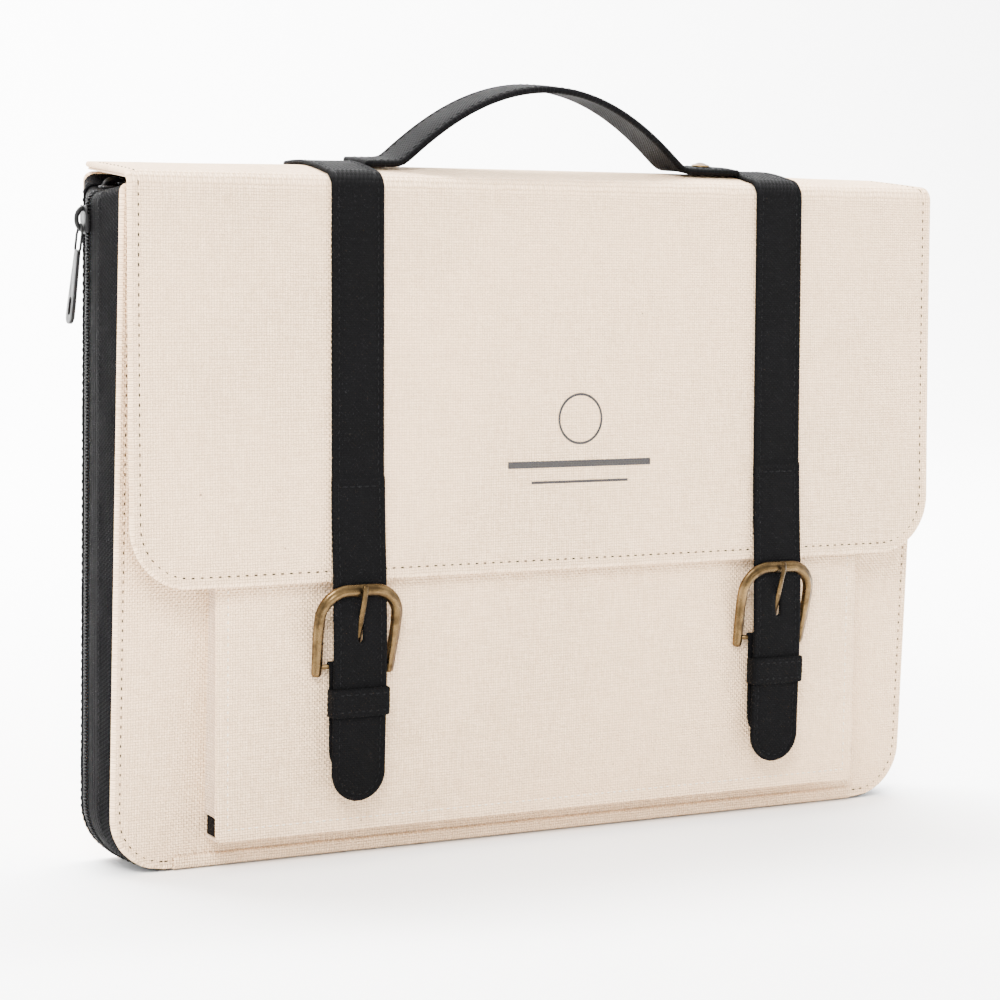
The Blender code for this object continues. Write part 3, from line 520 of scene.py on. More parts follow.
def cloth(name, grid, thick, kind, uv=None, outer=None):
    """A closed sheet with rounded edges round the middle surface through grid.

    Its outer face is on the side that the rows' and columns' directions turn to. outer lifts or
    presses that face alone, by one height for each grid point.
    """
    middle = np.array([[tuple(p) for p in row] for row in grid])
    rows, columns = middle.shape[:2]
    across = np.gradient(middle, axis=1)
    down = np.gradient(middle, axis=0)
    normal = np.cross(across, down)
    normal /= np.maximum(np.linalg.norm(normal, axis=2, keepdims=True), 1e-12)
    half = thick / 2
    lift = np.zeros((rows, columns, 1)) if outer is None else np.asarray(outer)[..., None]
    top = middle + normal * (half + lift)
    bottom = middle - normal * half
    loop = [(0, j) for j in range(columns)] + [(i, columns - 1) for i in range(1, rows)]
    loop += [(rows - 1, j) for j in range(columns - 2, -1, -1)] + [(i, 0) for i in range(rows - 2, 0, -1)]
    edge = np.array([middle[i, j] for i, j in loop])
    edge_normal = np.array([normal[i, j] for i, j in loop])
    edge_lift = np.array([lift[i, j] for i, j in loop])
    tangent = np.roll(edge, -1, axis=0) - np.roll(edge, 1, axis=0)
    outward = np.cross(tangent, edge_normal)
    outward /= np.maximum(np.linalg.norm(outward, axis=1, keepdims=True), 1e-12)
    rings = []
    for angle in (50, 0, -50):
        out, rise = cos(radians(angle)), sin(radians(angle))
        rings.append(edge + outward * half * out + edge_normal * (half * rise + edge_lift * max(0.0, rise)))
    if uv is None:
        steps = np.linalg.norm(np.diff(middle, axis=1), axis=2)
        u = np.concatenate([np.zeros((rows, 1)), np.cumsum(steps, axis=1)], axis=1)
        steps = np.linalg.norm(np.diff(middle, axis=0), axis=2)
        v = np.concatenate([np.zeros((1, columns)), np.cumsum(steps, axis=0)], axis=0)
        uv = np.stack([u, v], axis=2)
    uv = np.asarray(uv)
    ring_uv = np.array([uv[i, j] for i, j in loop])
    vertices = np.concatenate([top.reshape(-1, 3), bottom.reshape(-1, 3), *rings])
    uvs = np.concatenate([uv.reshape(-1, 2), uv.reshape(-1, 2)] + [ring_uv] * 3)
    faces = []
    count = rows * columns
    for i in range(rows - 1):
        for j in range(columns - 1):
            a = i * columns + j
            faces.append((a, a + 1, a + columns + 1, a + columns))
            faces.append((count + a, count + a + columns, count + a + columns + 1, count + a + 1))
    flat = [i * columns + j for i, j in loop]
    ring_start = [2 * count + k * len(loop) for k in range(3)]
    levels = [flat] + [[start + k for k in range(len(loop))] for start in ring_start]
    levels.append([count + k for k in flat])
    for upper, lower in zip(levels, levels[1:]):
        for k in range(len(loop)):
            n = (k + 1) % len(loop)
            faces.append((lower[k], lower[n], upper[n], upper[k]))
    return piece(name, vertices, faces, kind, uvs)


def stations(low, high, coarse=0.006, fine=0.0009, border=0.0085):
    """Places between two ends, close together near both."""
    if high - low <= 2 * border:
        count = max(2, int(round((high - low) / fine)))
        return [low + (high - low) * i / count for i in range(count + 1)]
    near = int(round(border / fine))
    ends = [i * border / near for i in range(near + 1)]
    inner = high - low - 2 * border
    count = max(1, int(round(inner / coarse)))
    places = [low + d for d in ends]
    places += [low + border + inner * i / count for i in range(1, count)]
    return places + [high - d for d in reversed(ends)]


def even(low, high, count):
    return [low + (high - low) * i / (count - 1) for i in range(count)]


def corner_cut(distance, radius):
    """How much a rounded corner narrows a sheet, at a distance from the edge that it is on."""
    if distance >= radius:
        return 0.0
    return radius - sqrt(max(0.0, radius ** 2 - (radius - distance) ** 2))


def sheet_grid(
    place, half, low, high, off, inset, start_radius=0.0, end_radius=0.0, centre=0.0, coarse=0.006, extra=()
):
    """Grid, cloth coordinates and edge distances of a sheet with rounded corners on a surface."""
    grid, uv, edges = [], [], []
    rows = stations(low + inset, high - inset, coarse)
    if end_radius or start_radius or extra:
        extra = list(extra)
        extra += [high - end_radius * (1 - cos(a * pi / 28)) for a in range(1, 14)] if end_radius else []
        extra += [low + start_radius * (1 - cos(a * pi / 28)) for a in range(1, 14)] if start_radius else []
        first, last = low + inset + 0.0003, high - inset - 0.0003
        rows = sorted(set(round(v, 4) for v in rows + extra if first < v < last))
        rows = [low + inset] + rows + [high - inset]
    for v in rows:
        cut = max(corner_cut(v - low - inset, max(start_radius - inset, 0)) if start_radius else 0,
                  corner_cut(high - inset - v, max(end_radius - inset, 0)) if end_radius else 0)
        width = max(half - inset - cut, 0.12 * half)
        line = [t / (half - inset) * width for t in stations(-half + inset, half - inset, coarse)]
        grid.append([place(centre + x, v, off) for x in line])
        uv.append([(x, v) for x in line])
        edges.append([min(width + inset - abs(x), v - low, high - v) for x in line])
    middle = len(grid) // 2
    centre_column = len(grid[0]) // 2
    here = grid[middle][centre_column]
    across = grid[middle][centre_column + 1] - here
    along = grid[middle + 1][centre_column] - here
    v = uv[middle][centre_column][1]
    out = place(centre, v, off + 0.001) - place(centre, v, off)
    if across.cross(along).dot(out) < 0:
        grid = [row[::-1] for row in grid]
        uv = [row[::-1] for row in uv]
        edges = [row[::-1] for row in edges]
    return grid, uv, np.array(edges)


def pressed(edges, at, depth=0.00035, width=0.0011):
    """A sheet's face pulled in along a row of stitches, and puffed a little between it and the edge."""
    dip = -depth * np.exp(-((edges - at) / width) ** 2)
    puff = 0.00022 * np.exp(-((edges - at * 0.45) / (at * 0.3)) ** 2)
    return dip + puff


def hem_path(half, low, high, inset, end_radius=0.0, start_radius=0.0, centre=0.0, sides="all"):
    """Points along a row of stitches that follows a sheet's edge, as (across, along)."""
    w = half - inset
    a, b = low + inset, high - inset
    r_end, r_start = max(end_radius - inset, 0.001), max(start_radius - inset, 0.001)
    left = arc((centre - w + r_start, a + r_start), r_start, -pi / 2, -pi, 10)
    lower_left = arc((centre - w + r_end, b - r_end), r_end, pi, pi / 2, 10)
    right = arc((centre + w - r_end, b - r_end), r_end, pi / 2, 0, 10)
    upper_right = arc((centre + w - r_start, a + r_start), r_start, 0, -pi / 2, 10)
    if sides == "u":
        return [(centre - w, low)] + lower_left + right + [(centre + w, low)]
    return left + lower_left + right + upper_right + [left[0]]


STITCH_SHAPE = ((0.0, 0.35, -0.5), (0.18, 0.85, 0.0), (0.5, 1.0, 0.25), (0.82, 0.85, 0.0), (1.0, 0.35, -0.5))


def stitches(name, place, path, off, pitch, length, width, kind):
    """A row of sewn stitches on a surface: each dips into the cloth at both of its ends."""
    points, travelled = [], 0.0
    wanted = pitch / 2
    for (x0, v0), (x1, v1) in zip(path, path[1:]):
        span = hypot(x1 - x0, v1 - v0)
        while span > 0 and wanted <= travelled + span:
            t = (wanted - travelled) / span
            points.append((x0 + (x1 - x0) * t, v0 + (v1 - v0) * t, (x1 - x0) / span, (v1 - v0) / span))
            wanted += pitch
        travelled += span
    vertices, faces, uvs = [], [], []
    for index, (x, v, dx, dv) in enumerate(points):
        jitter = 0.06 * sin(index * 12.9898)
        reach = length / 2 * (1 + jitter)
        a = place(x - dx * reach, v - dv * reach, off)
        b = place(x + dx * reach, v + dv * reach, off)
        up = (place(x, v, off + 0.001) - place(x, v, off)).normalized()
        along = (b - a).normalized()
        side = along.cross(up)
        start = len(vertices)
        for step, size, rise in STITCH_SHAPE:
            middle = a.lerp(b, step) + up * rise * width * 0.5
            for corner in range(6):
                turn = corner * pi / 3
                vertices.append(middle + (side * cos(turn) + up * sin(turn)) * (width / 2 * size))
                uvs.append((v + step * length, turn * width))
        for ring in range(4):
            for corner in range(6):
                nxt = (corner + 1) % 6
                low = start + ring * 6
                faces.append((low + corner, low + 6 + corner, low + 6 + nxt, low + nxt))
        faces.append(tuple(start + c for c in range(6)))
        faces.append(tuple(start + 24 + c for c in reversed(range(6))))
    return piece(name, vertices, faces, kind, uvs)


def wire(name, points, section, kind, closed=False, up=Vector((0, 0, 1)), scale=None):
    """A section, as (sideways, upwards) points, swept along a path with its own up direction."""
    vertices, faces = [], []
    count, size = len(points), len(section)
    for i, point in enumerate(points):
        before = points[(i - 1) % count] if closed or i > 0 else points[i]
        after = points[(i + 1) % count] if closed or i < count - 1 else points[i]
        along = (after - before).normalized()
        side = along.cross(up).normalized()
        high = side.cross(along)
        grow = scale(i / (count - 1)) if scale else 1.0
        for a, b in section:
            vertices.append(point + side * a * grow + high * b * grow)
    for i in range(count if closed else count - 1):
        n = (i + 1) % count
        for k in range(size):
            m = (k + 1) % size
            faces.append((i * size + k, i * size + m, n * size + m, n * size + k))
    if not closed:
        faces.append(tuple(reversed(range(size))))
        faces.append(tuple((count - 1) * size + k for k in range(size)))
    uvs = [(0.001 * (i // size), 0.0005 * (i % size)) for i in range(len(vertices))]
    return piece(name, vertices, faces, kind, uvs)


def ring_section(width, height, sides=16):
    return [(width * cos(2 * pi * k / sides), height * sin(2 * pi * k / sides)) for k in range(sides)]


def applied(obj):
    """Turns a piece's modifiers into its mesh."""
    depsgraph = bpy.context.evaluated_depsgraph_get()
    mesh = bpy.data.meshes.new_from_object(obj.evaluated_get(depsgraph))
    obj.modifiers.clear()
    obj.data = mesh
    return obj


def bevelled(obj, width, segments=3):
    """Rounds the sharp edges of a hard piece, with the rounding applied."""
    modifier = obj.modifiers.new("round", "BEVEL")
    modifier.width = width
    modifier.segments = segments
    modifier.limit_method = "ANGLE"
    modifier.angle_limit = radians(35)
    return applied(obj)


def solid(name, outlines, thick, matrix, kind, bevel):
    """A flat hard piece from closed outlines, the first outside and the rest holes, with rounded edges."""
    curve = bpy.data.curves.new(name, "CURVE")
    curve.dimensions = "2D"
    curve.fill_mode = "BOTH"
    curve.extrude = thick / 2
    for outline in outlines:
        spline = curve.splines.new("POLY")
        spline.points.add(len(outline) - 1)
        for point, (x, y) in zip(spline.points, outline):
            point.co = (x, y, 0, 1)
        spline.use_cyclic_u = True
    holder = bpy.data.objects.new(name + "_outline", curve)
    bpy.context.scene.collection.objects.link(holder)
    bpy.context.view_layer.update()
    mesh = bpy.data.meshes.new_from_object(holder)
    bpy.data.objects.remove(holder)
    mesh.transform(matrix)
    vertices = [v.co.copy() for v in mesh.vertices]
    faces = [tuple(p.vertices) for p in mesh.polygons]
    obj = piece(name, vertices, faces, kind)
    weld(obj)
    return bevelled(obj, bevel)


def weld(obj):
    """Joins a piece's coincident vertices."""
    bm = bmesh.new()
    bm.from_mesh(obj.data)
    bmesh.ops.remove_doubles(bm, verts=bm.verts, dist=0.000002)
    bmesh.ops.recalc_face_normals(bm, faces=bm.faces)
    bm.to_mesh(obj.data)
    bm.free()


def fold_blend(obj):
    """Bakes a flap piece's transform into its mesh; the places on both sides of the front fold are worked out
    but not used.
    """
    start = flap(0, TOP_SPAN - FOLD_REACH - 0.001, 0.003)
    end = flap(0, FOLD_PLACE + FOLD_REACH + 0.001, 0.003)
    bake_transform(obj)


# ---------------------------------------------------------------- the flap and its straps
def bend_stations():
    return [TOP_SPAN - FOLD_REACH + FOLD_RADIUS * FOLD_TURN * i / 12 for i in range(-1, 14)]


def make_flap():
    for name, layer, kind, nodes in (
        ("flap_face", FLAP_FACE, "canvas", ("flap_canvas", "flap_board", "flap_top_canvas")),
        # The underside is the face's cream canvas in its darker copy: painted shade under the flap.
        ("flap_underside", FLAP_LINING, "canvas_painted_shade", ("flap_lining", "flap_top_lining")),
    ):
        thick = layer[1] - layer[0]
        off = (layer[0] + layer[1]) / 2
        tuck = 0.0 if kind == "canvas" else 0.0014
        half = FLAP_HALF - tuck
        grid, uv, edges = sheet_grid(
            flap, half, 0.0006, FLAP_END - tuck, off, thick / 2, end_radius=FLAP_CORNER, extra=bend_stations()
        )
        outer = pressed(edges, FLAP_SEAM_INSET) if kind == "canvas" else None
        obj = cloth(name, grid, thick, kind, uv, outer)
        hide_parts(*nodes)
        fold_blend(obj)
        with_pieces = []
        if kind == "canvas":
            path = hem_path(FLAP_HALF, 0.004, FLAP_END, FLAP_SEAM_INSET, end_radius=FLAP_CORNER, sides="u")
            face = FLAP_FACE[1] - 0.0002
            sewn = stitches("flap_stitches", flap, path, face, STITCH, 0.0016, 0.00062, "thread")
            fold_blend(sewn)
            with_pieces = [sewn] + make_mark()


def ink_band(name, outer, inner):
    """A flat printed band on the flap's face between two closed outlines of equal counts."""
    height = FLAP_FACE[1] + 0.00012
    count = len(outer)
    points = [flap(x, s, height) for x, s in outer + inner]
    faces = [(k, (k + 1) % count, count + (k + 1) % count, count + k) for k in range(count)]
    obj = piece(name, points, faces, "ink", outer + inner)
    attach(obj, "flap_front")
    return obj


def box_outline(x, s, wide, tall):
    """Points round a bar, with enough along it to follow the cloth."""
    top = [(x - wide / 2 + wide * i / 12, s - tall / 2) for i in range(13)]
    return top + [(a, s + tall / 2) for a, _ in reversed(top)]


def make_mark():
    """A plain ring over two rules, in place of the print."""
    middle, drop = 0.0105, FOLD_PLACE + 0.112
    ring = [arc((middle, drop - 0.0095), radius, 0, 2 * pi, 48)[:-1] for radius in (0.0115, 0.0104)]
    pieces = [ink_band("mark_ring", *ring)]
    for label, down, wide, tall in (("upper", 0.0105, 0.074, 0.0030), ("lower", 0.0185, 0.050, 0.0012)):
        outer = box_outline(middle, drop + down, wide, tall)
        inner = box_outline(middle, drop + down, wide - tall, 0.0)
        pieces.append(ink_band(f"mark_{label}", outer, inner))
    return pieces


def strap_seam(name, place, path, off, length=0.0019, width=0.0006):
    """A row of the grey stitches that the black parts are sewn with."""
    return stitches(name, place, path, off, STRAP_STITCH, length, width, "grey_thread")


def strap_rows(name, x, low, high, off):
    rows = []
    for side, sign in (("a", -1), ("b", 1)):
        line = x + sign * (STRAP_HALF - STRAP_SEAM_INSET)
        path = [(line, low + 0.001), (line, high - 0.001)]
        rows.append(strap_seam(f"{name}_stitches_{side}", flap, path, off))
    return rows


def make_strap(side):
    x = STRAP_X[side]
    thick = STRAP_LAYER[1] - STRAP_LAYER[0]
    off = (STRAP_LAYER[0] + STRAP_LAYER[1]) / 2
    grid, uv, edges = sheet_grid(
        flap, STRAP_HALF, 0.0006, SPLICE + 0.0010, off, thick / 2, centre=x, extra=bend_stations()
    )
    upper = cloth(f"strap_{side}_upper", grid, thick, "webbing", uv, pressed(edges, STRAP_SEAM_INSET, 0.0002))
    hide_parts(f"strap_{side}", f"strap_top_{side}")
    fold_blend(upper)
    rows = strap_rows(f"strap_{side}_upper", x, 0.001, SPLICE - 0.001, STRAP_LAYER[1] - 0.0001)
    for row in rows:
        fold_blend(row)
    make_tongue(side, x, thick, off)
    make_chape(side, x)
    make_keeper(side, x)


def make_tongue(side, x, thick, off):
    half = STRAP_HALF + 0.0004
    low = SPLICE - 0.0008
    grid, uv, edges = sheet_grid(
        tongue_surface, half, low, TONGUE_END, off, thick / 2, centre=x, end_radius=half, coarse=0.003
    )
    outer = pressed(edges, STRAP_SEAM_INSET, 0.0002)
    obj = cloth(f"tongue_{side}_cloth", grid, thick, "webbing", uv, outer)
    bar_to_tongue = (tongue_surface(x, BAR_DROP, off) - BAR[side]).dot(FLAP_OUT)
    near = bar_to_tongue / tan(PRONG_TILT + radians(10)) - 0.0010
    far = bar_to_tongue / tan(PRONG_TILT) + 0.0026
    cut_hole(obj, tongue_surface(x, BAR_DROP - (near + far) / 2, off), 0.0015, (far - near) / 2)
    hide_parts(f"tongue_{side}")
    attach(obj, "flap_front")
    reach = half - STRAP_SEAM_INSET
    tip = arc((x, TONGUE_END - half), reach, pi, 0, 14)
    path = [(x - reach, low + 0.002)] + tip + [(x + reach, low + 0.002)]
    face = STRAP_LAYER[1] - 0.0001
    edge = strap_seam(f"tongue_{side}_stitches", tongue_surface, path, face)
    splice = [(x - half + 0.0045, SPLICE + 0.0035), (x + half - 0.0045, SPLICE + 0.0035)]
    tack = strap_seam(f"tongue_{side}_tack", tongue_surface, splice, face, 0.0026, 0.0007)
    for row in (edge, tack):
        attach(row, "flap_front")


def tongue_surface(x, s, off):
    """The tongue: it bows out over the buckle's bar and the keeper, and comes back at its tip."""
    past = max(0.0, min(1.0, (s - SPLICE) / (TONGUE_END - SPLICE)))
    bow = 0.0003 + 0.0020 * sin(pi * past) ** 2
    return flap(x, s, off + bow)


def cut_hole(obj, place, half_width, half_height):
    """Cuts a round-ended slot through a cloth that hangs on the flap's front."""
    straight = half_height - half_width
    outline = arc((0, straight), half_width, 0, pi, 10) + arc((0, -straight), half_width, pi, 2 * pi, 10)
    matrix = Matrix.Translation(place) @ axes(Vector((1, 0, 0)), -FLAP_DOWN, FLAP_OUT)
    cutter = solid(obj.name + "_cutter", [outline], 0.02, matrix, "webbing", 0.0)
    modifier = obj.modifiers.new("hole", "BOOLEAN")
    modifier.operation = "DIFFERENCE"
    modifier.solver = "EXACT"
    modifier.object = cutter
    applied(obj)
    bpy.data.objects.remove(cutter)


def axes(x_axis, y_axis, z_axis):
    """A rotation whose columns are three directions."""
    return Matrix((x_axis, y_axis, z_axis)).transposed().to_4x4()


def make_chape(side, x):
    """The short strap behind the tongue, whose end goes round the buckle's bar."""
    off, thick = 0.0023, 0.0015
    wrap = 0.0021
    half = STRAP_HALF + 0.0003

    def place(across, s, lift):
        if s >= BAR_DROP + 0.001:
            return flap(across, s, off + lift)
        turn = (BAR_DROP + 0.001 - s) / wrap
        centre = BAR[side] + Vector((across - x, 0, 0)) + FLAP_OUT * sway(x, BAR_DROP)
        start = flap(across, BAR_DROP + 0.001, off + lift) - centre
        return centre + Matrix.Rotation(-turn, 3, "X") @ start

    grid, uv, _ = sheet_grid(
        place, half, BAR_DROP - 0.0060, CHAPE_END, 0.0, thick / 2, centre=x, end_radius=half, coarse=0.003
    )
    obj = cloth(f"chape_{side}_cloth", grid, thick, "webbing", uv)
    cut_hole(obj, BAR[side], 0.0021, 0.0045)
    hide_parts(f"chape_{side}")
    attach(obj, "flap_front")


def make_keeper(side, x):
    """The loop that holds the tongue's end: a band round the strap, lapped at its back."""
    low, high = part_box(f"keeper_{side}")
    width = high.z - low.z
    wide = (high.x - low.x) / 2 - 0.0007
    layer_low, layer_high = 0.0007, 0.0069
    radius = 0.0016
    near, top, foot = wide - radius, layer_high - radius, layer_low + radius
    corners = [
        (-near, foot, -pi / 2, -pi),
        (-near, top, pi, pi / 2),
        (near, top, pi / 2, 0),
        (near, foot, 0, -pi / 2),
    ]
    path = [(0.0, layer_low)]
    for cx, cy, start, end in corners:
        path += run(path[-1], (cx + radius * cos(start), cy + radius * sin(start)), 6)
        path += arc((cx, cy), radius, start, end, 6)
    path += run(path[-1], (0.0, layer_low), 6) + [(-0.0006, layer_low - 0.0002)]
    grid = []
    upper, lower = KEEPER_MIDDLE - width / 2, KEEPER_MIDDLE + width / 2
    for s in stations(upper + 0.0006, lower - 0.0006, 0.002, 0.0008, 0.002):
        swell = 0.00025 * cos(pi * (s - KEEPER_MIDDLE) / width)
        grid.append([tongue_surface(x + a, s, b + (swell if b > 0.004 else 0.0)) for a, b in reversed(path)])
    obj = cloth(f"keeper_{side}_loop", grid, 0.0012, "webbing")
    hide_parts(f"keeper_{side}")
    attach(obj, "flap_front")
    for label, s in (("upper", upper + 0.0024), ("lower", lower - 0.0024)):
        path = [(x - wide + 0.002, s), (x + wide - 0.002, s)]
        row = strap_seam(f"keeper_{side}_{label}_stitches", tongue_surface, path, layer_high + 0.0007)
        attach(row, "flap_front")


# ---------------------------------------------------------------- buckles, rivet, snaps
BUCKLE_TILT = radians(13.5)
PRONG_TILT = radians(19.1)


def slimmer_feet(along):
    return 0.86 + 0.16 * sin(pi * along)


def make_buckle(side):
    """A cast horseshoe, thicker at its arch than at its feet, and the bar between its legs."""
    tilt = BUCKLE_TILT
    up = -FLAP_DOWN * cos(tilt) + FLAP_OUT * sin(tilt)
    out = FLAP_OUT * cos(tilt) + FLAP_DOWN * sin(tilt)
    low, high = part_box(f"buckle_{side}")
    wire_radius = 0.0021
    half = (high.x - low.x) / 2 - wire_radius + 0.0013
    rise = 0.0338
    corner = 0.0125
    foot = [
        (half - 0.0013, -0.0048),
        (half - 0.0011, -0.0015),
        (half - 0.0008, 0.0040),
        (half - 0.0004, 0.0100),
        (half, 0.0155),
    ]
    right = foot + arc((half - corner, rise - corner), corner, 0.10, pi / 2, 16)
    path = right + [(-a, b) for a, b in reversed(right)]
    points = [BAR[side] + Vector((a, 0, 0)) + up * b for a, b in path]
    cast = [
        (-0.0023, -0.0010), (-0.0021, 0.0004), (-0.0012, 0.0015), (-0.0003, 0.0019), (0.0006, 0.0016),
        (0.0010, 0.0010), (0.0015, 0.0007), (0.0021, 0.0002), (0.0023, -0.0008), (0.0016, -0.0017),
        (0.0, -0.0019), (-0.0016, -0.0017),
    ]
    section = [(a * 1.28, b * 1.12) for a, b in cast]
    obj = wire(f"buckle_{side}_frame", points, section, "brass", up=out, scale=slimmer_feet)
    smooth_by(obj, 1)
    end = half - 0.0012
    bar_points = [BAR[side] + Vector((a, 0, 0)) for a in (-end, -half / 2, 0, half / 2, end)]
    bar = wire(f"buckle_{side}_bar", bar_points, ring_section(0.0011, 0.0011), "brass", up=out)
    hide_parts(f"buckle_{side}")
    for made in (obj, bar):
        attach(made, "flap_front")
    make_prong(side)


def smooth_by(obj, levels):
    """Subdivides a cast piece, with the smoothing applied."""
    modifier = obj.modifiers.new("smooth", "SUBSURF")
    modifier.levels = levels
    modifier.render_levels = levels
    applied(obj)


def narrow_tip(along):
    return 1.0 - 0.25 * along ** 3


def make_prong(side):
    """A flattened pin: an eye round the bar, then a shank that narrows to the arch and dips at its tip."""
    tilt = PRONG_TILT
    up = -FLAP_DOWN * cos(tilt) + FLAP_OUT * sin(tilt)
    out = FLAP_OUT * cos(tilt) + FLAP_DOWN * sin(tilt)
    centre = BAR[side]
    eye_radius, eye_gap = 0.0018, 0.55
    turns = [-eye_gap - i * (2 * pi - 2 * eye_gap) / 14 for i in range(15)]
    path = [(eye_radius * cos(a), eye_radius * sin(a)) for a in turns]
    path += [(0.0035, 0.0006), (0.010, 0.0003), (0.020, 0.0002), (0.030, 0.0003), (0.0338, 0.0004)]
    path += [(0.0362, -0.0003), (0.0372, -0.0010)]
    points = [centre + up * a + out * b for a, b in path]
    section = ring_section(0.00085, 0.0015, 14)
    obj = wire(f"prong_{side}_pin", points, section, "brass", up=Vector((1, 0, 0)), scale=narrow_tip)
    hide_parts(f"prong_{side}")
    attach(obj, f"prong_{side}")


def turned(name, profile, place, axis, kind, steps=40):
    """A piece turned about an axis, from (radius, height) points."""
    rotation = Vector((0, 0, 1)).rotation_difference(axis).to_matrix()
    vertices, faces = [], []
    for radius, height in profile:
        for k in range(steps):
            turn = 2 * pi * k / steps
            vertices.append(place + rotation @ Vector((radius * cos(turn), radius * sin(turn), height)))
    for i in range(len(profile) - 1):
        for k in range(steps):
            n = (k + 1) % steps
            faces.append((i * steps + k, i * steps + n, (i + 1) * steps + n, (i + 1) * steps + k))
    faces.append(tuple(reversed(range(steps))))
    faces.append(tuple((len(profile) - 1) * steps + k for k in range(steps)))
    uvs = [(0.001 * (i // steps), 0.001 * (i % steps)) for i in range(len(vertices))]
    return piece(name, vertices, faces, kind, uvs)


def make_rivet():
    low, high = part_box("handle_rivet")
    radius = (high.x - low.x) / 2
    x = (high.x + low.x) / 2
    place = handle_surface(x, 0.0, 0.0014)
    axis = (handle_surface(x, 0.0, 0.01) - handle_surface(x, 0.0, 0.0)).normalized()
    profile = [
        (radius, 0.0), (radius, 0.0004), (radius * 0.97, 0.0008), (radius * 0.80, 0.0012),
        (radius * 0.74, 0.0010), (radius * 0.66, 0.0012), (radius * 0.4, 0.0018), (radius * 0.15, 0.0020),
        (0.0002, 0.0020),
    ]
    obj = turned("handle_rivet_head", profile, place, axis, "brass")
    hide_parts("handle_rivet")
    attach(obj, "flap_top")


def make_snaps():
    for side in STRAP_X:
        for node, body in (("snap_stud", "flap_front"), ("snap_socket", "case_front")):
            low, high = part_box(f"{node}_{side}")
            middle = (low + high) / 2
            radius = (high.x - low.x) / 2
            axis = -FLAP_OUT if node == "snap_stud" else PANEL_OUT
            half = 0.0005
            profile = [
                (radius * 0.95, -half), (radius, -half * 0.4), (radius, half * 0.2), (radius * 0.86, half),
                (radius * 0.5, half * 0.8), (radius * 0.42, half * 0.1), (0.0002, half * 0.1),
            ]
            obj = turned(f"{node}_{side}_disc", profile, middle, axis, "black_metal")
            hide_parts(f"{node}_{side}")
            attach(obj, body)


# ---------------------------------------------------------------- panels, base and pocket
def make_panel(name, place, height, layer, kind, nodes, body):
    thick = layer[1] - layer[0]
    off = (layer[0] + layer[1]) / 2
    grid, uv, edges = sheet_grid(
        place, PANEL_HALF, 0.0, height, off, thick / 2, start_radius=PANEL_CORNER, end_radius=TOP_CORNER
    )
    outer = pressed(edges, PANEL_SEAM_INSET, 0.0003, 0.0009)
    obj = cloth(name, grid, thick, kind, uv, outer)
    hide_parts(*nodes)
    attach(obj, body)
    rounds = {"end_radius": TOP_CORNER, "start_radius": PANEL_CORNER}
    path = hem_path(PANEL_HALF, 0.0, height, PANEL_SEAM_INSET, **rounds)
    face = layer[1] - 0.0002
    row = stitches(f"{name}_stitches", place, path, face, STITCH, 0.0016, 0.0006, "thread")
    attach(row, body)


def make_panels():
    canvas_front = ("front_canvas", "front_board")
    canvas_back = ("back_canvas", "back_board")
    make_panel("front_panel", front, FRONT_HEIGHT, (-0.0033, 0.0), "canvas", canvas_front, "case_front")
    make_panel("back_panel", back, BACK_HEIGHT, (-0.0033, 0.0), "canvas", canvas_back, "case_back")
    for name, place, height, node, body in (
        ("front_panel_lining", front, FRONT_HEIGHT, "front_lining", "case_front"),
        ("back_panel_lining", back, BACK_HEIGHT, "back_lining", "case_back"),
    ):
        grid, uv, _ = sheet_grid(
            place,
            PANEL_HALF - 0.003,
            0.004,
            height - 0.003,
            -0.0041,
            0.0004,
            start_radius=PANEL_CORNER,
            end_radius=TOP_CORNER,
        )
        obj = cloth(name, grid, 0.0008, "lining", uv)
        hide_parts(node)
        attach(obj, body)


def base_surface(x, v, off):
    """The base cloth, from its front lip under the case to its back one; v is 0 under the middle."""
    flat = BACK_HIGH.y - 0.0012
    radius = 0.0022
    turn = radius * pi / 2
    sign = -1 if v < 0 else 1
    d = abs(v)
    if d <= flat:
        return Vector((x, v, 0.0010 - off))
    if d <= flat + turn:
        a = (d - flat) / radius
        return Vector((x, sign * (flat + (radius + off) * sin(a)), 0.0010 + radius - (radius + off) * cos(a)))
    return Vector((x, sign * (flat + radius + off), 0.0010 + radius + d - flat - turn))


def make_base():
    reach = BACK_HIGH.y + 0.0048
    half = NOTCH_X - 0.0006
    grid, uv = [], []
    rows = [-reach + 2 * reach * i / 60 for i in range(61)]
    for v in rows:
        line = stations(-half, half, 0.008, 0.0012)
        grid.append([base_surface(x, v, 0.0) for x in line])
        uv.append([(x, v) for x in line])
    obj = cloth("base_wrap", grid, 0.0011, "canvas", uv)
    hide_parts("base_canvas")
    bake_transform(obj)
    paint("base_board", "board")
    for side in ("left", "right"):
        paint(f"zip_stop_{side}", "black_metal")


def paint(node, kind):
    """Gives a CAD node that stays in view its finish."""
    obj = frame["nodes"][node]
    obj.data.materials.clear()
    obj.data.materials.append(MATERIALS[kind])


POCKET_ROUND = 0.0014


def pocket_wrap(x, up, off):
    """The pocket's front, with both of its sides turned back through a quarter circle."""
    flat = POCKET_HALF - POCKET_ROUND
    dx = x - POCKET_X
    if abs(dx) <= flat:
        return pocket(x, up, off)
    turn = min(pi / 2, (abs(dx) - flat) / POCKET_ROUND)
    sign = 1 if dx > 0 else -1
    radius = POCKET_ROUND + off
    return pocket(POCKET_X + sign * (flat + radius * sin(turn)), up, -POCKET_ROUND + radius * cos(turn))


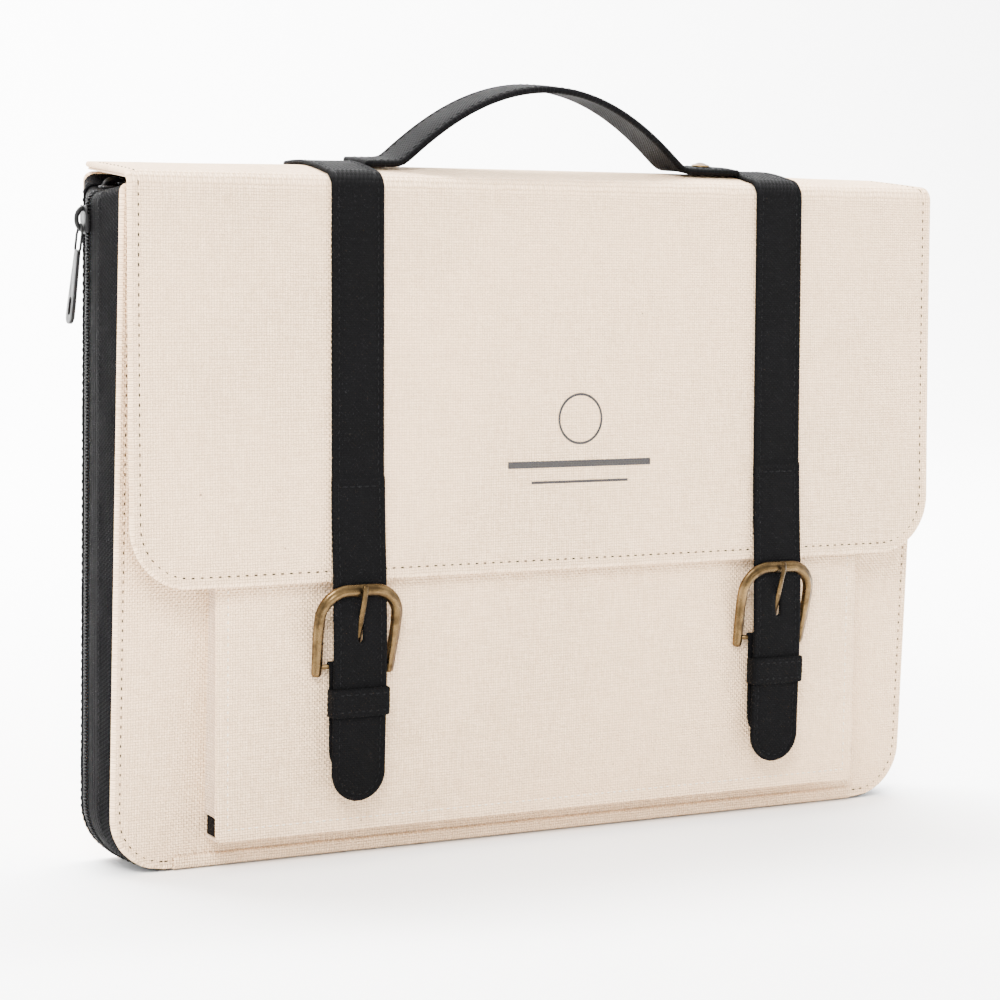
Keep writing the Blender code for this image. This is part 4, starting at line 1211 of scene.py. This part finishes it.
def make_pocket():
    thick = 0.0012
    half = POCKET_HALF - POCKET_ROUND + POCKET_ROUND * pi / 2
    low, high = 0.0, POCKET_HEIGHT
    grid, uv, edges = sheet_grid(
        pocket_wrap, half, low, high, -thick / 2, thick / 2, start_radius=0.003, centre=POCKET_X
    )
    outer = -0.00025 * np.exp(-((np.abs(edges) - 0.0058) / 0.0011) ** 2)
    obj = cloth("pocket_cloth", grid, thick, "canvas", uv, outer)
    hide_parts("pocket_front")
    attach(obj, "case_front")
    w = half - 0.0062
    left, right, sewn_top, sewn_foot = POCKET_X - w, POCKET_X + w, high - 0.004, 0.0052
    path = [(left, sewn_top), (left, sewn_foot), (right, sewn_foot), (right, sewn_top)]
    row = stitches("pocket_stitches", pocket_wrap, path, -0.0001, 0.0032, 0.0016, 0.0006, "cream_thread")
    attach(row, "case_front")
    make_pocket_sides()
    make_pocket_inside()


def make_pocket_sides():
    for side, sign in (("left", -1), ("right", 1)):
        x = POCKET_X + sign * (POCKET_HALF - 0.0006)
        grid, uv = [], []
        for up in stations(0.0105, POCKET_HEIGHT - 0.001, 0.006, 0.0012, 0.004):
            far = pocket_depth(up) - POCKET_ROUND - 0.0002
            line = even(0.0006, far, 9)
            deep = 0.0010 * sin(pi * min(1.0, up / POCKET_HEIGHT + 0.15))
            tuck = [deep * sin(pi * (off / far)) for off in line]
            grid.append([front(x - sign * t, POCKET_FOOT + up, off) for off, t in zip(line, tuck)])
            uv.append([(off, up) for off in line])
        # The darker copy of the canvas: painted shade on the pocket's sides.
        obj = cloth(f"pocket_gusset_{side}", grid, 0.0010, "canvas_painted_shade", uv)
        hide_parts(f"pocket_side_{side}")
        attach(obj, "case_front")
    grid, uv = [], []
    for off in even(0.0005, POCKET_DEPTH - 0.0019, 9):
        line = stations(POCKET_X - POCKET_HALF + 0.001, POCKET_X + POCKET_HALF - 0.001, 0.006)
        grid.append([front(x, POCKET_FOOT + 0.0006, off) for x in line])
        uv.append([(x, off) for x in line])
    # The darker copy of the canvas: painted shade on the pocket's floor.
    obj = cloth("pocket_floor", grid, 0.0010, "canvas_painted_shade", uv)
    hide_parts("pocket_bottom")
    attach(obj, "case_front")


def make_pocket_inside():
    """The black lining: a tray whose side shows in the open corner under each pocket side."""
    inset, foot = 0.0019, 0.0007
    grid = []
    for up in stations(0.0017, POCKET_HEIGHT - 0.004, 0.008, 0.001, 0.002):
        out = pocket_depth(up) - 0.0019
        left, right = POCKET_X - POCKET_HALF + inset, POCKET_X + POCKET_HALF - inset
        line = [(left, off) for off in even(foot, out, 10)]
        line += [(x, out) for x in even(left, right, 30)[1:-1]]
        line += [(right, off) for off in even(out, foot, 10)]
        grid.append([front(x, POCKET_FOOT + up, off) for x, off in line])
    obj = cloth("pocket_inside", grid, 0.0006, "lining")
    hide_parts("pocket_lining")
    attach(obj, "case_front")


# ---------------------------------------------------------------- gusset and zip
def outward(line):
    """The direction away from the case at each point of a rim line."""
    points = np.array([(p.x, p.z) for p in line])
    tangent = np.gradient(points, axis=0)
    normal = np.stack([-tangent[:, 1], tangent[:, 0]], axis=1)
    normal /= np.linalg.norm(normal, axis=1, keepdims=True)
    return [Vector((x, 0, z)) for x, z in normal]


def lengths(line):
    steps = [(b - a).length for a, b in zip(line, line[1:])]
    return [0.0] + list(np.cumsum(steps))


def pucker(length, part):
    """Small gathers in the gusset, strongest midway between panel and zip."""
    wave = sin(length * 210.0 + 1.3 * sin(length * 37.0)) * 0.6 + sin(length * 97.0 + 0.8) * 0.4
    return 0.00035 * wave * sin(pi * part)


GUSSET_EDGE = 0.0093
TAPE_EDGE = 0.0121
TAPE_MIDDLE = 0.0016


def make_gusset(side):
    sign = SIDE[side]
    zip_line = gusset_line(side, sign * 0.0005)
    travelled = lengths(zip_line)
    away = outward(zip_line)
    grid, uv = [], []
    parts = [i / 12 for i in range(13)]
    for part in parts:
        line = []
        for panel in gusset_line(side, None):
            line.append(panel.y + (sign * GUSSET_EDGE - panel.y) * part)
        places = gusset_at(side, line)
        row = [p + over * pucker(t, part) for p, over, t in zip(places, away, travelled)]
        grid.append(row)
        uv.append([(t, y) for t, y in zip(travelled, line)])
    obj = cloth(f"gusset_{side}_cloth", grid, 0.0010, "gusset", uv)
    body = f"case_{side}"
    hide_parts(f"gusset_{side}")
    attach(obj, body)
    make_tape(side, sign, travelled, away, body)


def gusset_at(side, ys):
    places = []
    for (panel_x, panel_z), (zip_x, zip_z), y in zip(panel_rim(side), ZIP_RIM, ys):
        start = gusset_start(side, panel_z)
        blend = sin(pi / 2 * (start - y) / start)
        places.append(Vector((panel_x + (zip_x - panel_x) * blend, y, panel_z + (zip_z - panel_z) * blend)))
    return places


def make_tape(side, sign, travelled, away, body):
    grid, uv = [], []
    for part in range(8):
        y = sign * (TAPE_EDGE + (TAPE_MIDDLE - TAPE_EDGE) * part / 7)
        places = gusset_at(side, [y] * len(away))
        sink = 0.0011 if part < 3 else 0.0011 - 0.0008 * min(1.0, (part - 2) / 3)
        grid.append([p - over * sink for p, over in zip(places, away)])
        uv.append([(t, y) for t in travelled])
    tape = cloth(f"zip_tape_{side}_knit", grid, 0.0007, "tape", uv)
    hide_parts(f"zip_tape_{side}")
    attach(tape, body)
    coil = make_coil(side, sign, travelled, away)
    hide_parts(f"zip_coil_{side}")
    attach(coil, body)
    edge = stitches_on_line(side, sign, travelled, away)
    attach(edge, body)


def along_line(line, travelled, distance):
    """Place and index fraction on a polyline at a distance along it."""
    index = int(np.clip(np.searchsorted(travelled, distance) - 1, 0, len(line) - 2))
    span = travelled[index + 1] - travelled[index]
    return index, (distance - travelled[index]) / max(span, 1e-9)


TOOTH_RADIUS = 0.00066
TOOTH_SHAPE = (
    (-0.0005, 0.30, 0.45),
    (-0.0002, 0.62, 0.85),
    (0.0008, 0.55, 0.95),
    (0.0019, 0.52, 0.85),
    (0.0025, 0.40, 0.4),
)


def make_coil(side, sign, travelled, away):
    """One tooth for every turn of the coil, hooked a little past the middle, with its root on the tape."""
    pitch = 0.0014
    total = travelled[-1]
    centre_line = gusset_line(side, sign * 0.0001)
    vertices, faces, uvs = [], [], []
    count = int(total / pitch) - 1
    for k in range(count):
        distance = (k + (0.5 if side == "front" else 1.0)) * pitch
        index, part = along_line(centre_line, travelled, distance)
        place = centre_line[index].lerp(centre_line[index + 1], part)
        up = away[index].lerp(away[index + 1], part).normalized()
        forward = (centre_line[index + 1] - centre_line[index]).normalized()
        start = len(vertices)
        for y, wide, tall in TOOTH_SHAPE:
            middle = place + Vector((0, sign * y, 0)) + up * 0.0002
            for corner in range(6):
                turn = corner * pi / 3
                across = forward * (cos(turn) * TOOTH_RADIUS * wide)
                vertices.append(middle + across + up * (sin(turn) * TOOTH_RADIUS * tall))
                uvs.append((distance, y))
        ring_faces(faces, start, 5, 6)
    obj = piece(f"zip_coil_{side}_teeth", vertices, faces, "nylon", uvs)
    weld(obj)
    return obj


def ring_faces(faces, start, rings, sides):
    for ring in range(rings - 1):
        for corner in range(sides):
            nxt = (corner + 1) % sides
            low = start + ring * sides
            faces.append((low + corner, low + nxt, low + sides + nxt, low + sides + corner))
    faces.append(tuple(start + c for c in reversed(range(sides))))
    faces.append(tuple(start + (rings - 1) * sides + c for c in range(sides)))


def stitches_on_line(side, sign, travelled, away):
    """The row that sews the gusset's folded edge to the zip tape."""
    line = gusset_at(side, [sign * 0.0108] * len(away))

    def place(t, y, off):
        index, part = along_line(line, travelled, t)
        return line[index].lerp(line[index + 1], part) + away[index] * off + Vector((0, sign * y, 0))

    path = [(0.004, 0.0), (travelled[-1] - 0.004, 0.0)]
    return strap_seam(f"gusset_{side}_stitches", place, path, 0.0005, 0.0020)


# ---------------------------------------------------------------- sliders and pulls
def slider_axes(side):
    if side == "left":
        return Vector((0, 0, -1)), Vector((-1, 0, 0))
    return Vector((1, 0, 0)), Vector((0, 0, 1))


def make_slider(side):
    along, out = slider_axes(side)
    low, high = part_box(f"zip_slider_{side}")
    if side == "left":
        centre = Vector((-ZIP_HALF, 0, (low.z + high.z) / 2))
    else:
        centre = Vector(((low.x + high.x) / 2, 0, ZIP_TOP))
    across = out.cross(along)
    matrix = Matrix.Translation(centre) @ axes(along, across, out)
    shield = [
        (-0.0060, -0.0030), (-0.0045, -0.0039), (-0.0005, -0.0038), (0.0030, -0.0031), (0.0055, -0.0029),
        (0.0060, -0.0022), (0.0060, 0.0022), (0.0055, 0.0029), (0.0030, 0.0031), (-0.0005, 0.0038),
        (-0.0045, 0.0039), (-0.0060, 0.0030), (-0.0055, 0.0008), (-0.0050, 0.0), (-0.0055, -0.0008),
    ]
    made = []
    for name, height in (("plate", 0.00195), ("under", -0.00195)):
        place = matrix @ Matrix.Translation((0, 0, height))
        made.append(solid(f"slider_{side}_{name}", [shield], 0.0009, place, "black_metal", 0.0003))
    flange = [(-0.0020, 0.0), (0.0055, 0.0), (0.0055, 0.0011), (-0.0020, 0.0011)]
    for name, shift in (("lip_a", -0.0039), ("lip_b", 0.0028)):
        place = matrix @ Matrix.Translation((0, shift, 0.00145))
        made.append(solid(f"slider_{side}_{name}", [flange], 0.0010, place, "black_metal", 0.0002))
    bridge = arc((0, 0.0019), 0.0046, pi, 0, 14)
    points = [matrix @ Vector((x, 0, 0.0019 + (z - 0.0019) * 0.72)) for x, z in bridge]
    strip = ring_section(0.0011, 0.0006, 12)
    made.append(wire(f"slider_{side}_bridge", points, strip, "black_metal", up=across))
    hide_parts(f"zip_slider_{side}")
    for obj in made:
        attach(obj, f"slider_{side}")
    make_pull(side, along, out)


def make_pull(side, along, out):
    joint = JOINTS["pull_left_swing" if side == "left" else "pull_top_lift"]
    pivot = Vector(joint["pos_m"])
    tilt = radians(6.5) if side == "left" else 0.0
    forward = along * cos(tilt) + out * sin(tilt)
    up = out * cos(tilt) - along * sin(tilt)
    across = up.cross(forward)
    matrix = Matrix.Translation(pivot) @ axes(forward, across, up)
    wide, length = 0.0030, 0.0104
    loop = arc((0.0012, 0), wide * 0.62, pi / 2 + 0.4, 3 * pi / 2 - 0.4, 6)
    corner = 0.0012
    far = length - corner
    loop += [(0.0035, -wide), (far, -wide)] + arc((far, -wide + corner), corner, -pi / 2, 0, 4)
    loop += arc((far, wide - corner), corner, 0, pi / 2, 4) + [(0.0035, wide)]
    points = [matrix @ Vector((x, y, 0)) for x, y in loop]
    bent = ring_section(0.00055, 0.00055, 10)
    ring = wire(f"pull_{side}_loop", points, bent, "black_metal", closed=True, up=up)
    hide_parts(f"pull_loop_{side}")
    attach(ring, f"pull_{side}")
    end = 0.031
    half = 0.0035
    outline = [(0.0002, -0.0019), (0.0035, -0.0022), (end - half - 0.004, -half)]
    outline += arc((end - half, 0), half, -pi / 2, pi / 2, 12)
    outline += [(end - half - 0.004, half), (0.0035, 0.0022), (0.0002, 0.0019)]
    inner = arc((end - 0.0100, 0), 0.0013, pi / 2, 3 * pi / 2, 6)
    inner += arc((end - 0.0050, 0), 0.0013, -pi / 2, pi / 2, 6)
    place = matrix @ Matrix.Translation((0.010, 0, 0))
    tab = solid(f"pull_{side}_tab", [outline, inner[::-1]], 0.0015, place, "black_metal", 0.0004)
    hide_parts(f"pull_tab_{side}")
    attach(tab, f"pull_{side}")


# ---------------------------------------------------------------- handle
HANDLE_X = (GRIP_LOW.x + GRIP_HIGH.x) / 2
HANDLE_BACK = 0.0456 - 0.0231
HANDLE_RISE = 0.0345
HANDLE_SPAN = 0.0725
HANDLE_SOFT = 0.002


def handle_height(x):
    arch = HANDLE_RISE * (1 - ((x - HANDLE_X) / HANDLE_SPAN) ** 2)
    return (arch + sqrt(arch * arch + HANDLE_SOFT ** 2)) / 2


def handle_surface(x, across, off):
    """The handle's ribbon: x along it, across from its back edge to its front one."""
    slope = (handle_height(x + 0.0005) - handle_height(x - 0.0005)) / 0.001
    normal = (TOP_OUT - Vector((1, 0, 0)) * slope).normalized()
    middle = SEAM + Vector((x, 0, 0)) + TOP_ALONG * (HANDLE_BACK + across)
    middle += TOP_OUT * (0.0054 + handle_height(x) + crown(x, HANDLE_BACK))
    arched = 0.0005 * (1 - (across / 0.0125) ** 2)
    return middle + normal * (off + arched)


def make_handle():
    low_x, high_x = ROOT_LEFT[0].x, ROOT_RIGHT[1].x
    half, thick = 0.0125, 0.0028
    grid, uv, edges = [], [], []
    for across in stations(-half + thick / 2, half - thick / 2, 0.0025, 0.0009, 0.004):
        line = [low_x + (high_x - low_x) * i / 90 for i in range(91)]
        grid.append([handle_surface(x, across, 0.0) for x in line])
        uv.append([(x, across) for x in line])
        edges.append([half - abs(across)] * 91)
    edges = np.array(edges)
    if (grid[-1][45] - grid[0][45]).cross(grid[0][46] - grid[0][45]).z > 0:
        grid = [row[::-1] for row in grid]
        uv = [row[::-1] for row in uv]
    obj = cloth("handle_ribbon", grid, thick, "webbing", uv, pressed(edges, 0.0029, 0.0002))
    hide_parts("handle_grip", "handle_root_left", "handle_root_right")
    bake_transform(obj)
    for label, across in (("back", -half + 0.0029), ("front", half - 0.0029)):
        path = [(low_x + 0.002, across), (high_x - 0.002, across)]
        row = strap_seam(f"handle_{label}_stitches", handle_surface, path, thick / 2, 0.0020)
        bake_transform(row)
    length = sum((b - a).length for a, b in zip(grid[0], grid[0][1:]))


# ---------------------------------------------------------------- the picture
def make_floor():
    cove = 0.8
    profile = [(-3.0, 0.0)] + arc((1.6, cove), cove, -pi / 2, 0, 12) + [(1.6 + cove, 3.5)]
    vertices = [(x, y, z - 0.0003) for y, z in profile for x in (-4.0, 4.0)]
    faces = [(2 * i, 2 * i + 1, 2 * i + 3, 2 * i + 2) for i in range(len(profile) - 1)]
    mesh = bpy.data.meshes.new("floor")
    mesh.from_pydata(vertices, [], faces)
    mesh.polygons.foreach_set("use_smooth", [True] * len(mesh.polygons))
    paper = Graph("floor_paper")
    grain = paper.noise(140.0, detail=3.0)
    tone = paper.mix(grain, rgb(0.93, 0.93, 0.93), rgb(0.96, 0.96, 0.96))
    paper.finish(tone, 0.9, paper.bump(grain, 0.0001, 0.2))
    mesh.materials.append(paper.material)
    obj = bpy.data.objects.new("floor", mesh)
    bpy.context.scene.collection.objects.link(obj)


def add_light(name, place, target, size, power, colour=(1.0, 1.0, 1.0)):
    data = bpy.data.lights.new(name, "AREA")
    data.shape = "RECTANGLE"
    data.size, data.size_y = size
    data.energy = power
    data.color = colour
    obj = bpy.data.objects.new(name, data)
    obj.location = place
    obj.rotation_euler = (Vector(target) - Vector(place)).to_track_quat("-Z", "Y").to_euler()
    bpy.context.scene.collection.objects.link(obj)


def light_scene():
    world = bpy.data.worlds.new("studio")
    world.use_nodes = True
    world.node_tree.nodes["Background"].inputs["Color"].default_value = (1.0, 1.0, 1.0, 1.0)
    world.node_tree.nodes["Background"].inputs["Strength"].default_value = 2.4
    bpy.context.scene.world = world
    add_light("key", (-1.1, -1.5, 1.7), (0, 0, 0.15), (0.8, 0.8), 125.0, (1.0, 0.975, 0.94))
    add_light("fill", (1.6, -1.3, 0.8), (0, 0, 0.15), (1.4, 1.0), 20.0, (1.0, 0.99, 0.98))
    add_light("top", (0.0, 0.3, 2.0), (0, 0, 0.1), (1.6, 1.2), 44.0)
    add_light("backdrop", (0.0, 0.9, 2.4), (0.4, 2.3, 0.6), (3.0, 0.8), 650.0)


def place_camera():
    data = bpy.data.cameras.new("camera")
    data.lens = 102.2
    data.sensor_width = 36.0
    camera = bpy.data.objects.new("camera", data)
    yaw, pitch, roll = radians(29.5), radians(6.0), radians(1.1)
    forward = Vector((sin(yaw) * cos(pitch), cos(yaw) * cos(pitch), -sin(pitch)))
    right = Vector((cos(yaw), -sin(yaw), 0))
    up = right.cross(forward)
    turned_right = right * cos(roll) + up * sin(roll)
    turned_up = up * cos(roll) - right * sin(roll)
    place = Matrix.Translation((-0.6428, -1.117, 0.286))
    camera.matrix_world = place @ axes(turned_right, turned_up, -forward)
    bpy.context.scene.collection.objects.link(camera)
    bpy.context.scene.camera = camera


make_panels()
make_base()
make_pocket()
for half_side in ("front", "back"):
    make_gusset(half_side)
make_flap()
for strap_side in ("left", "right"):
    make_strap(strap_side)
    make_buckle(strap_side)
make_snaps()
make_handle()
make_rivet()
for zip_side in ("left", "top"):
    make_slider(zip_side)
make_floor()
light_scene()
place_camera()
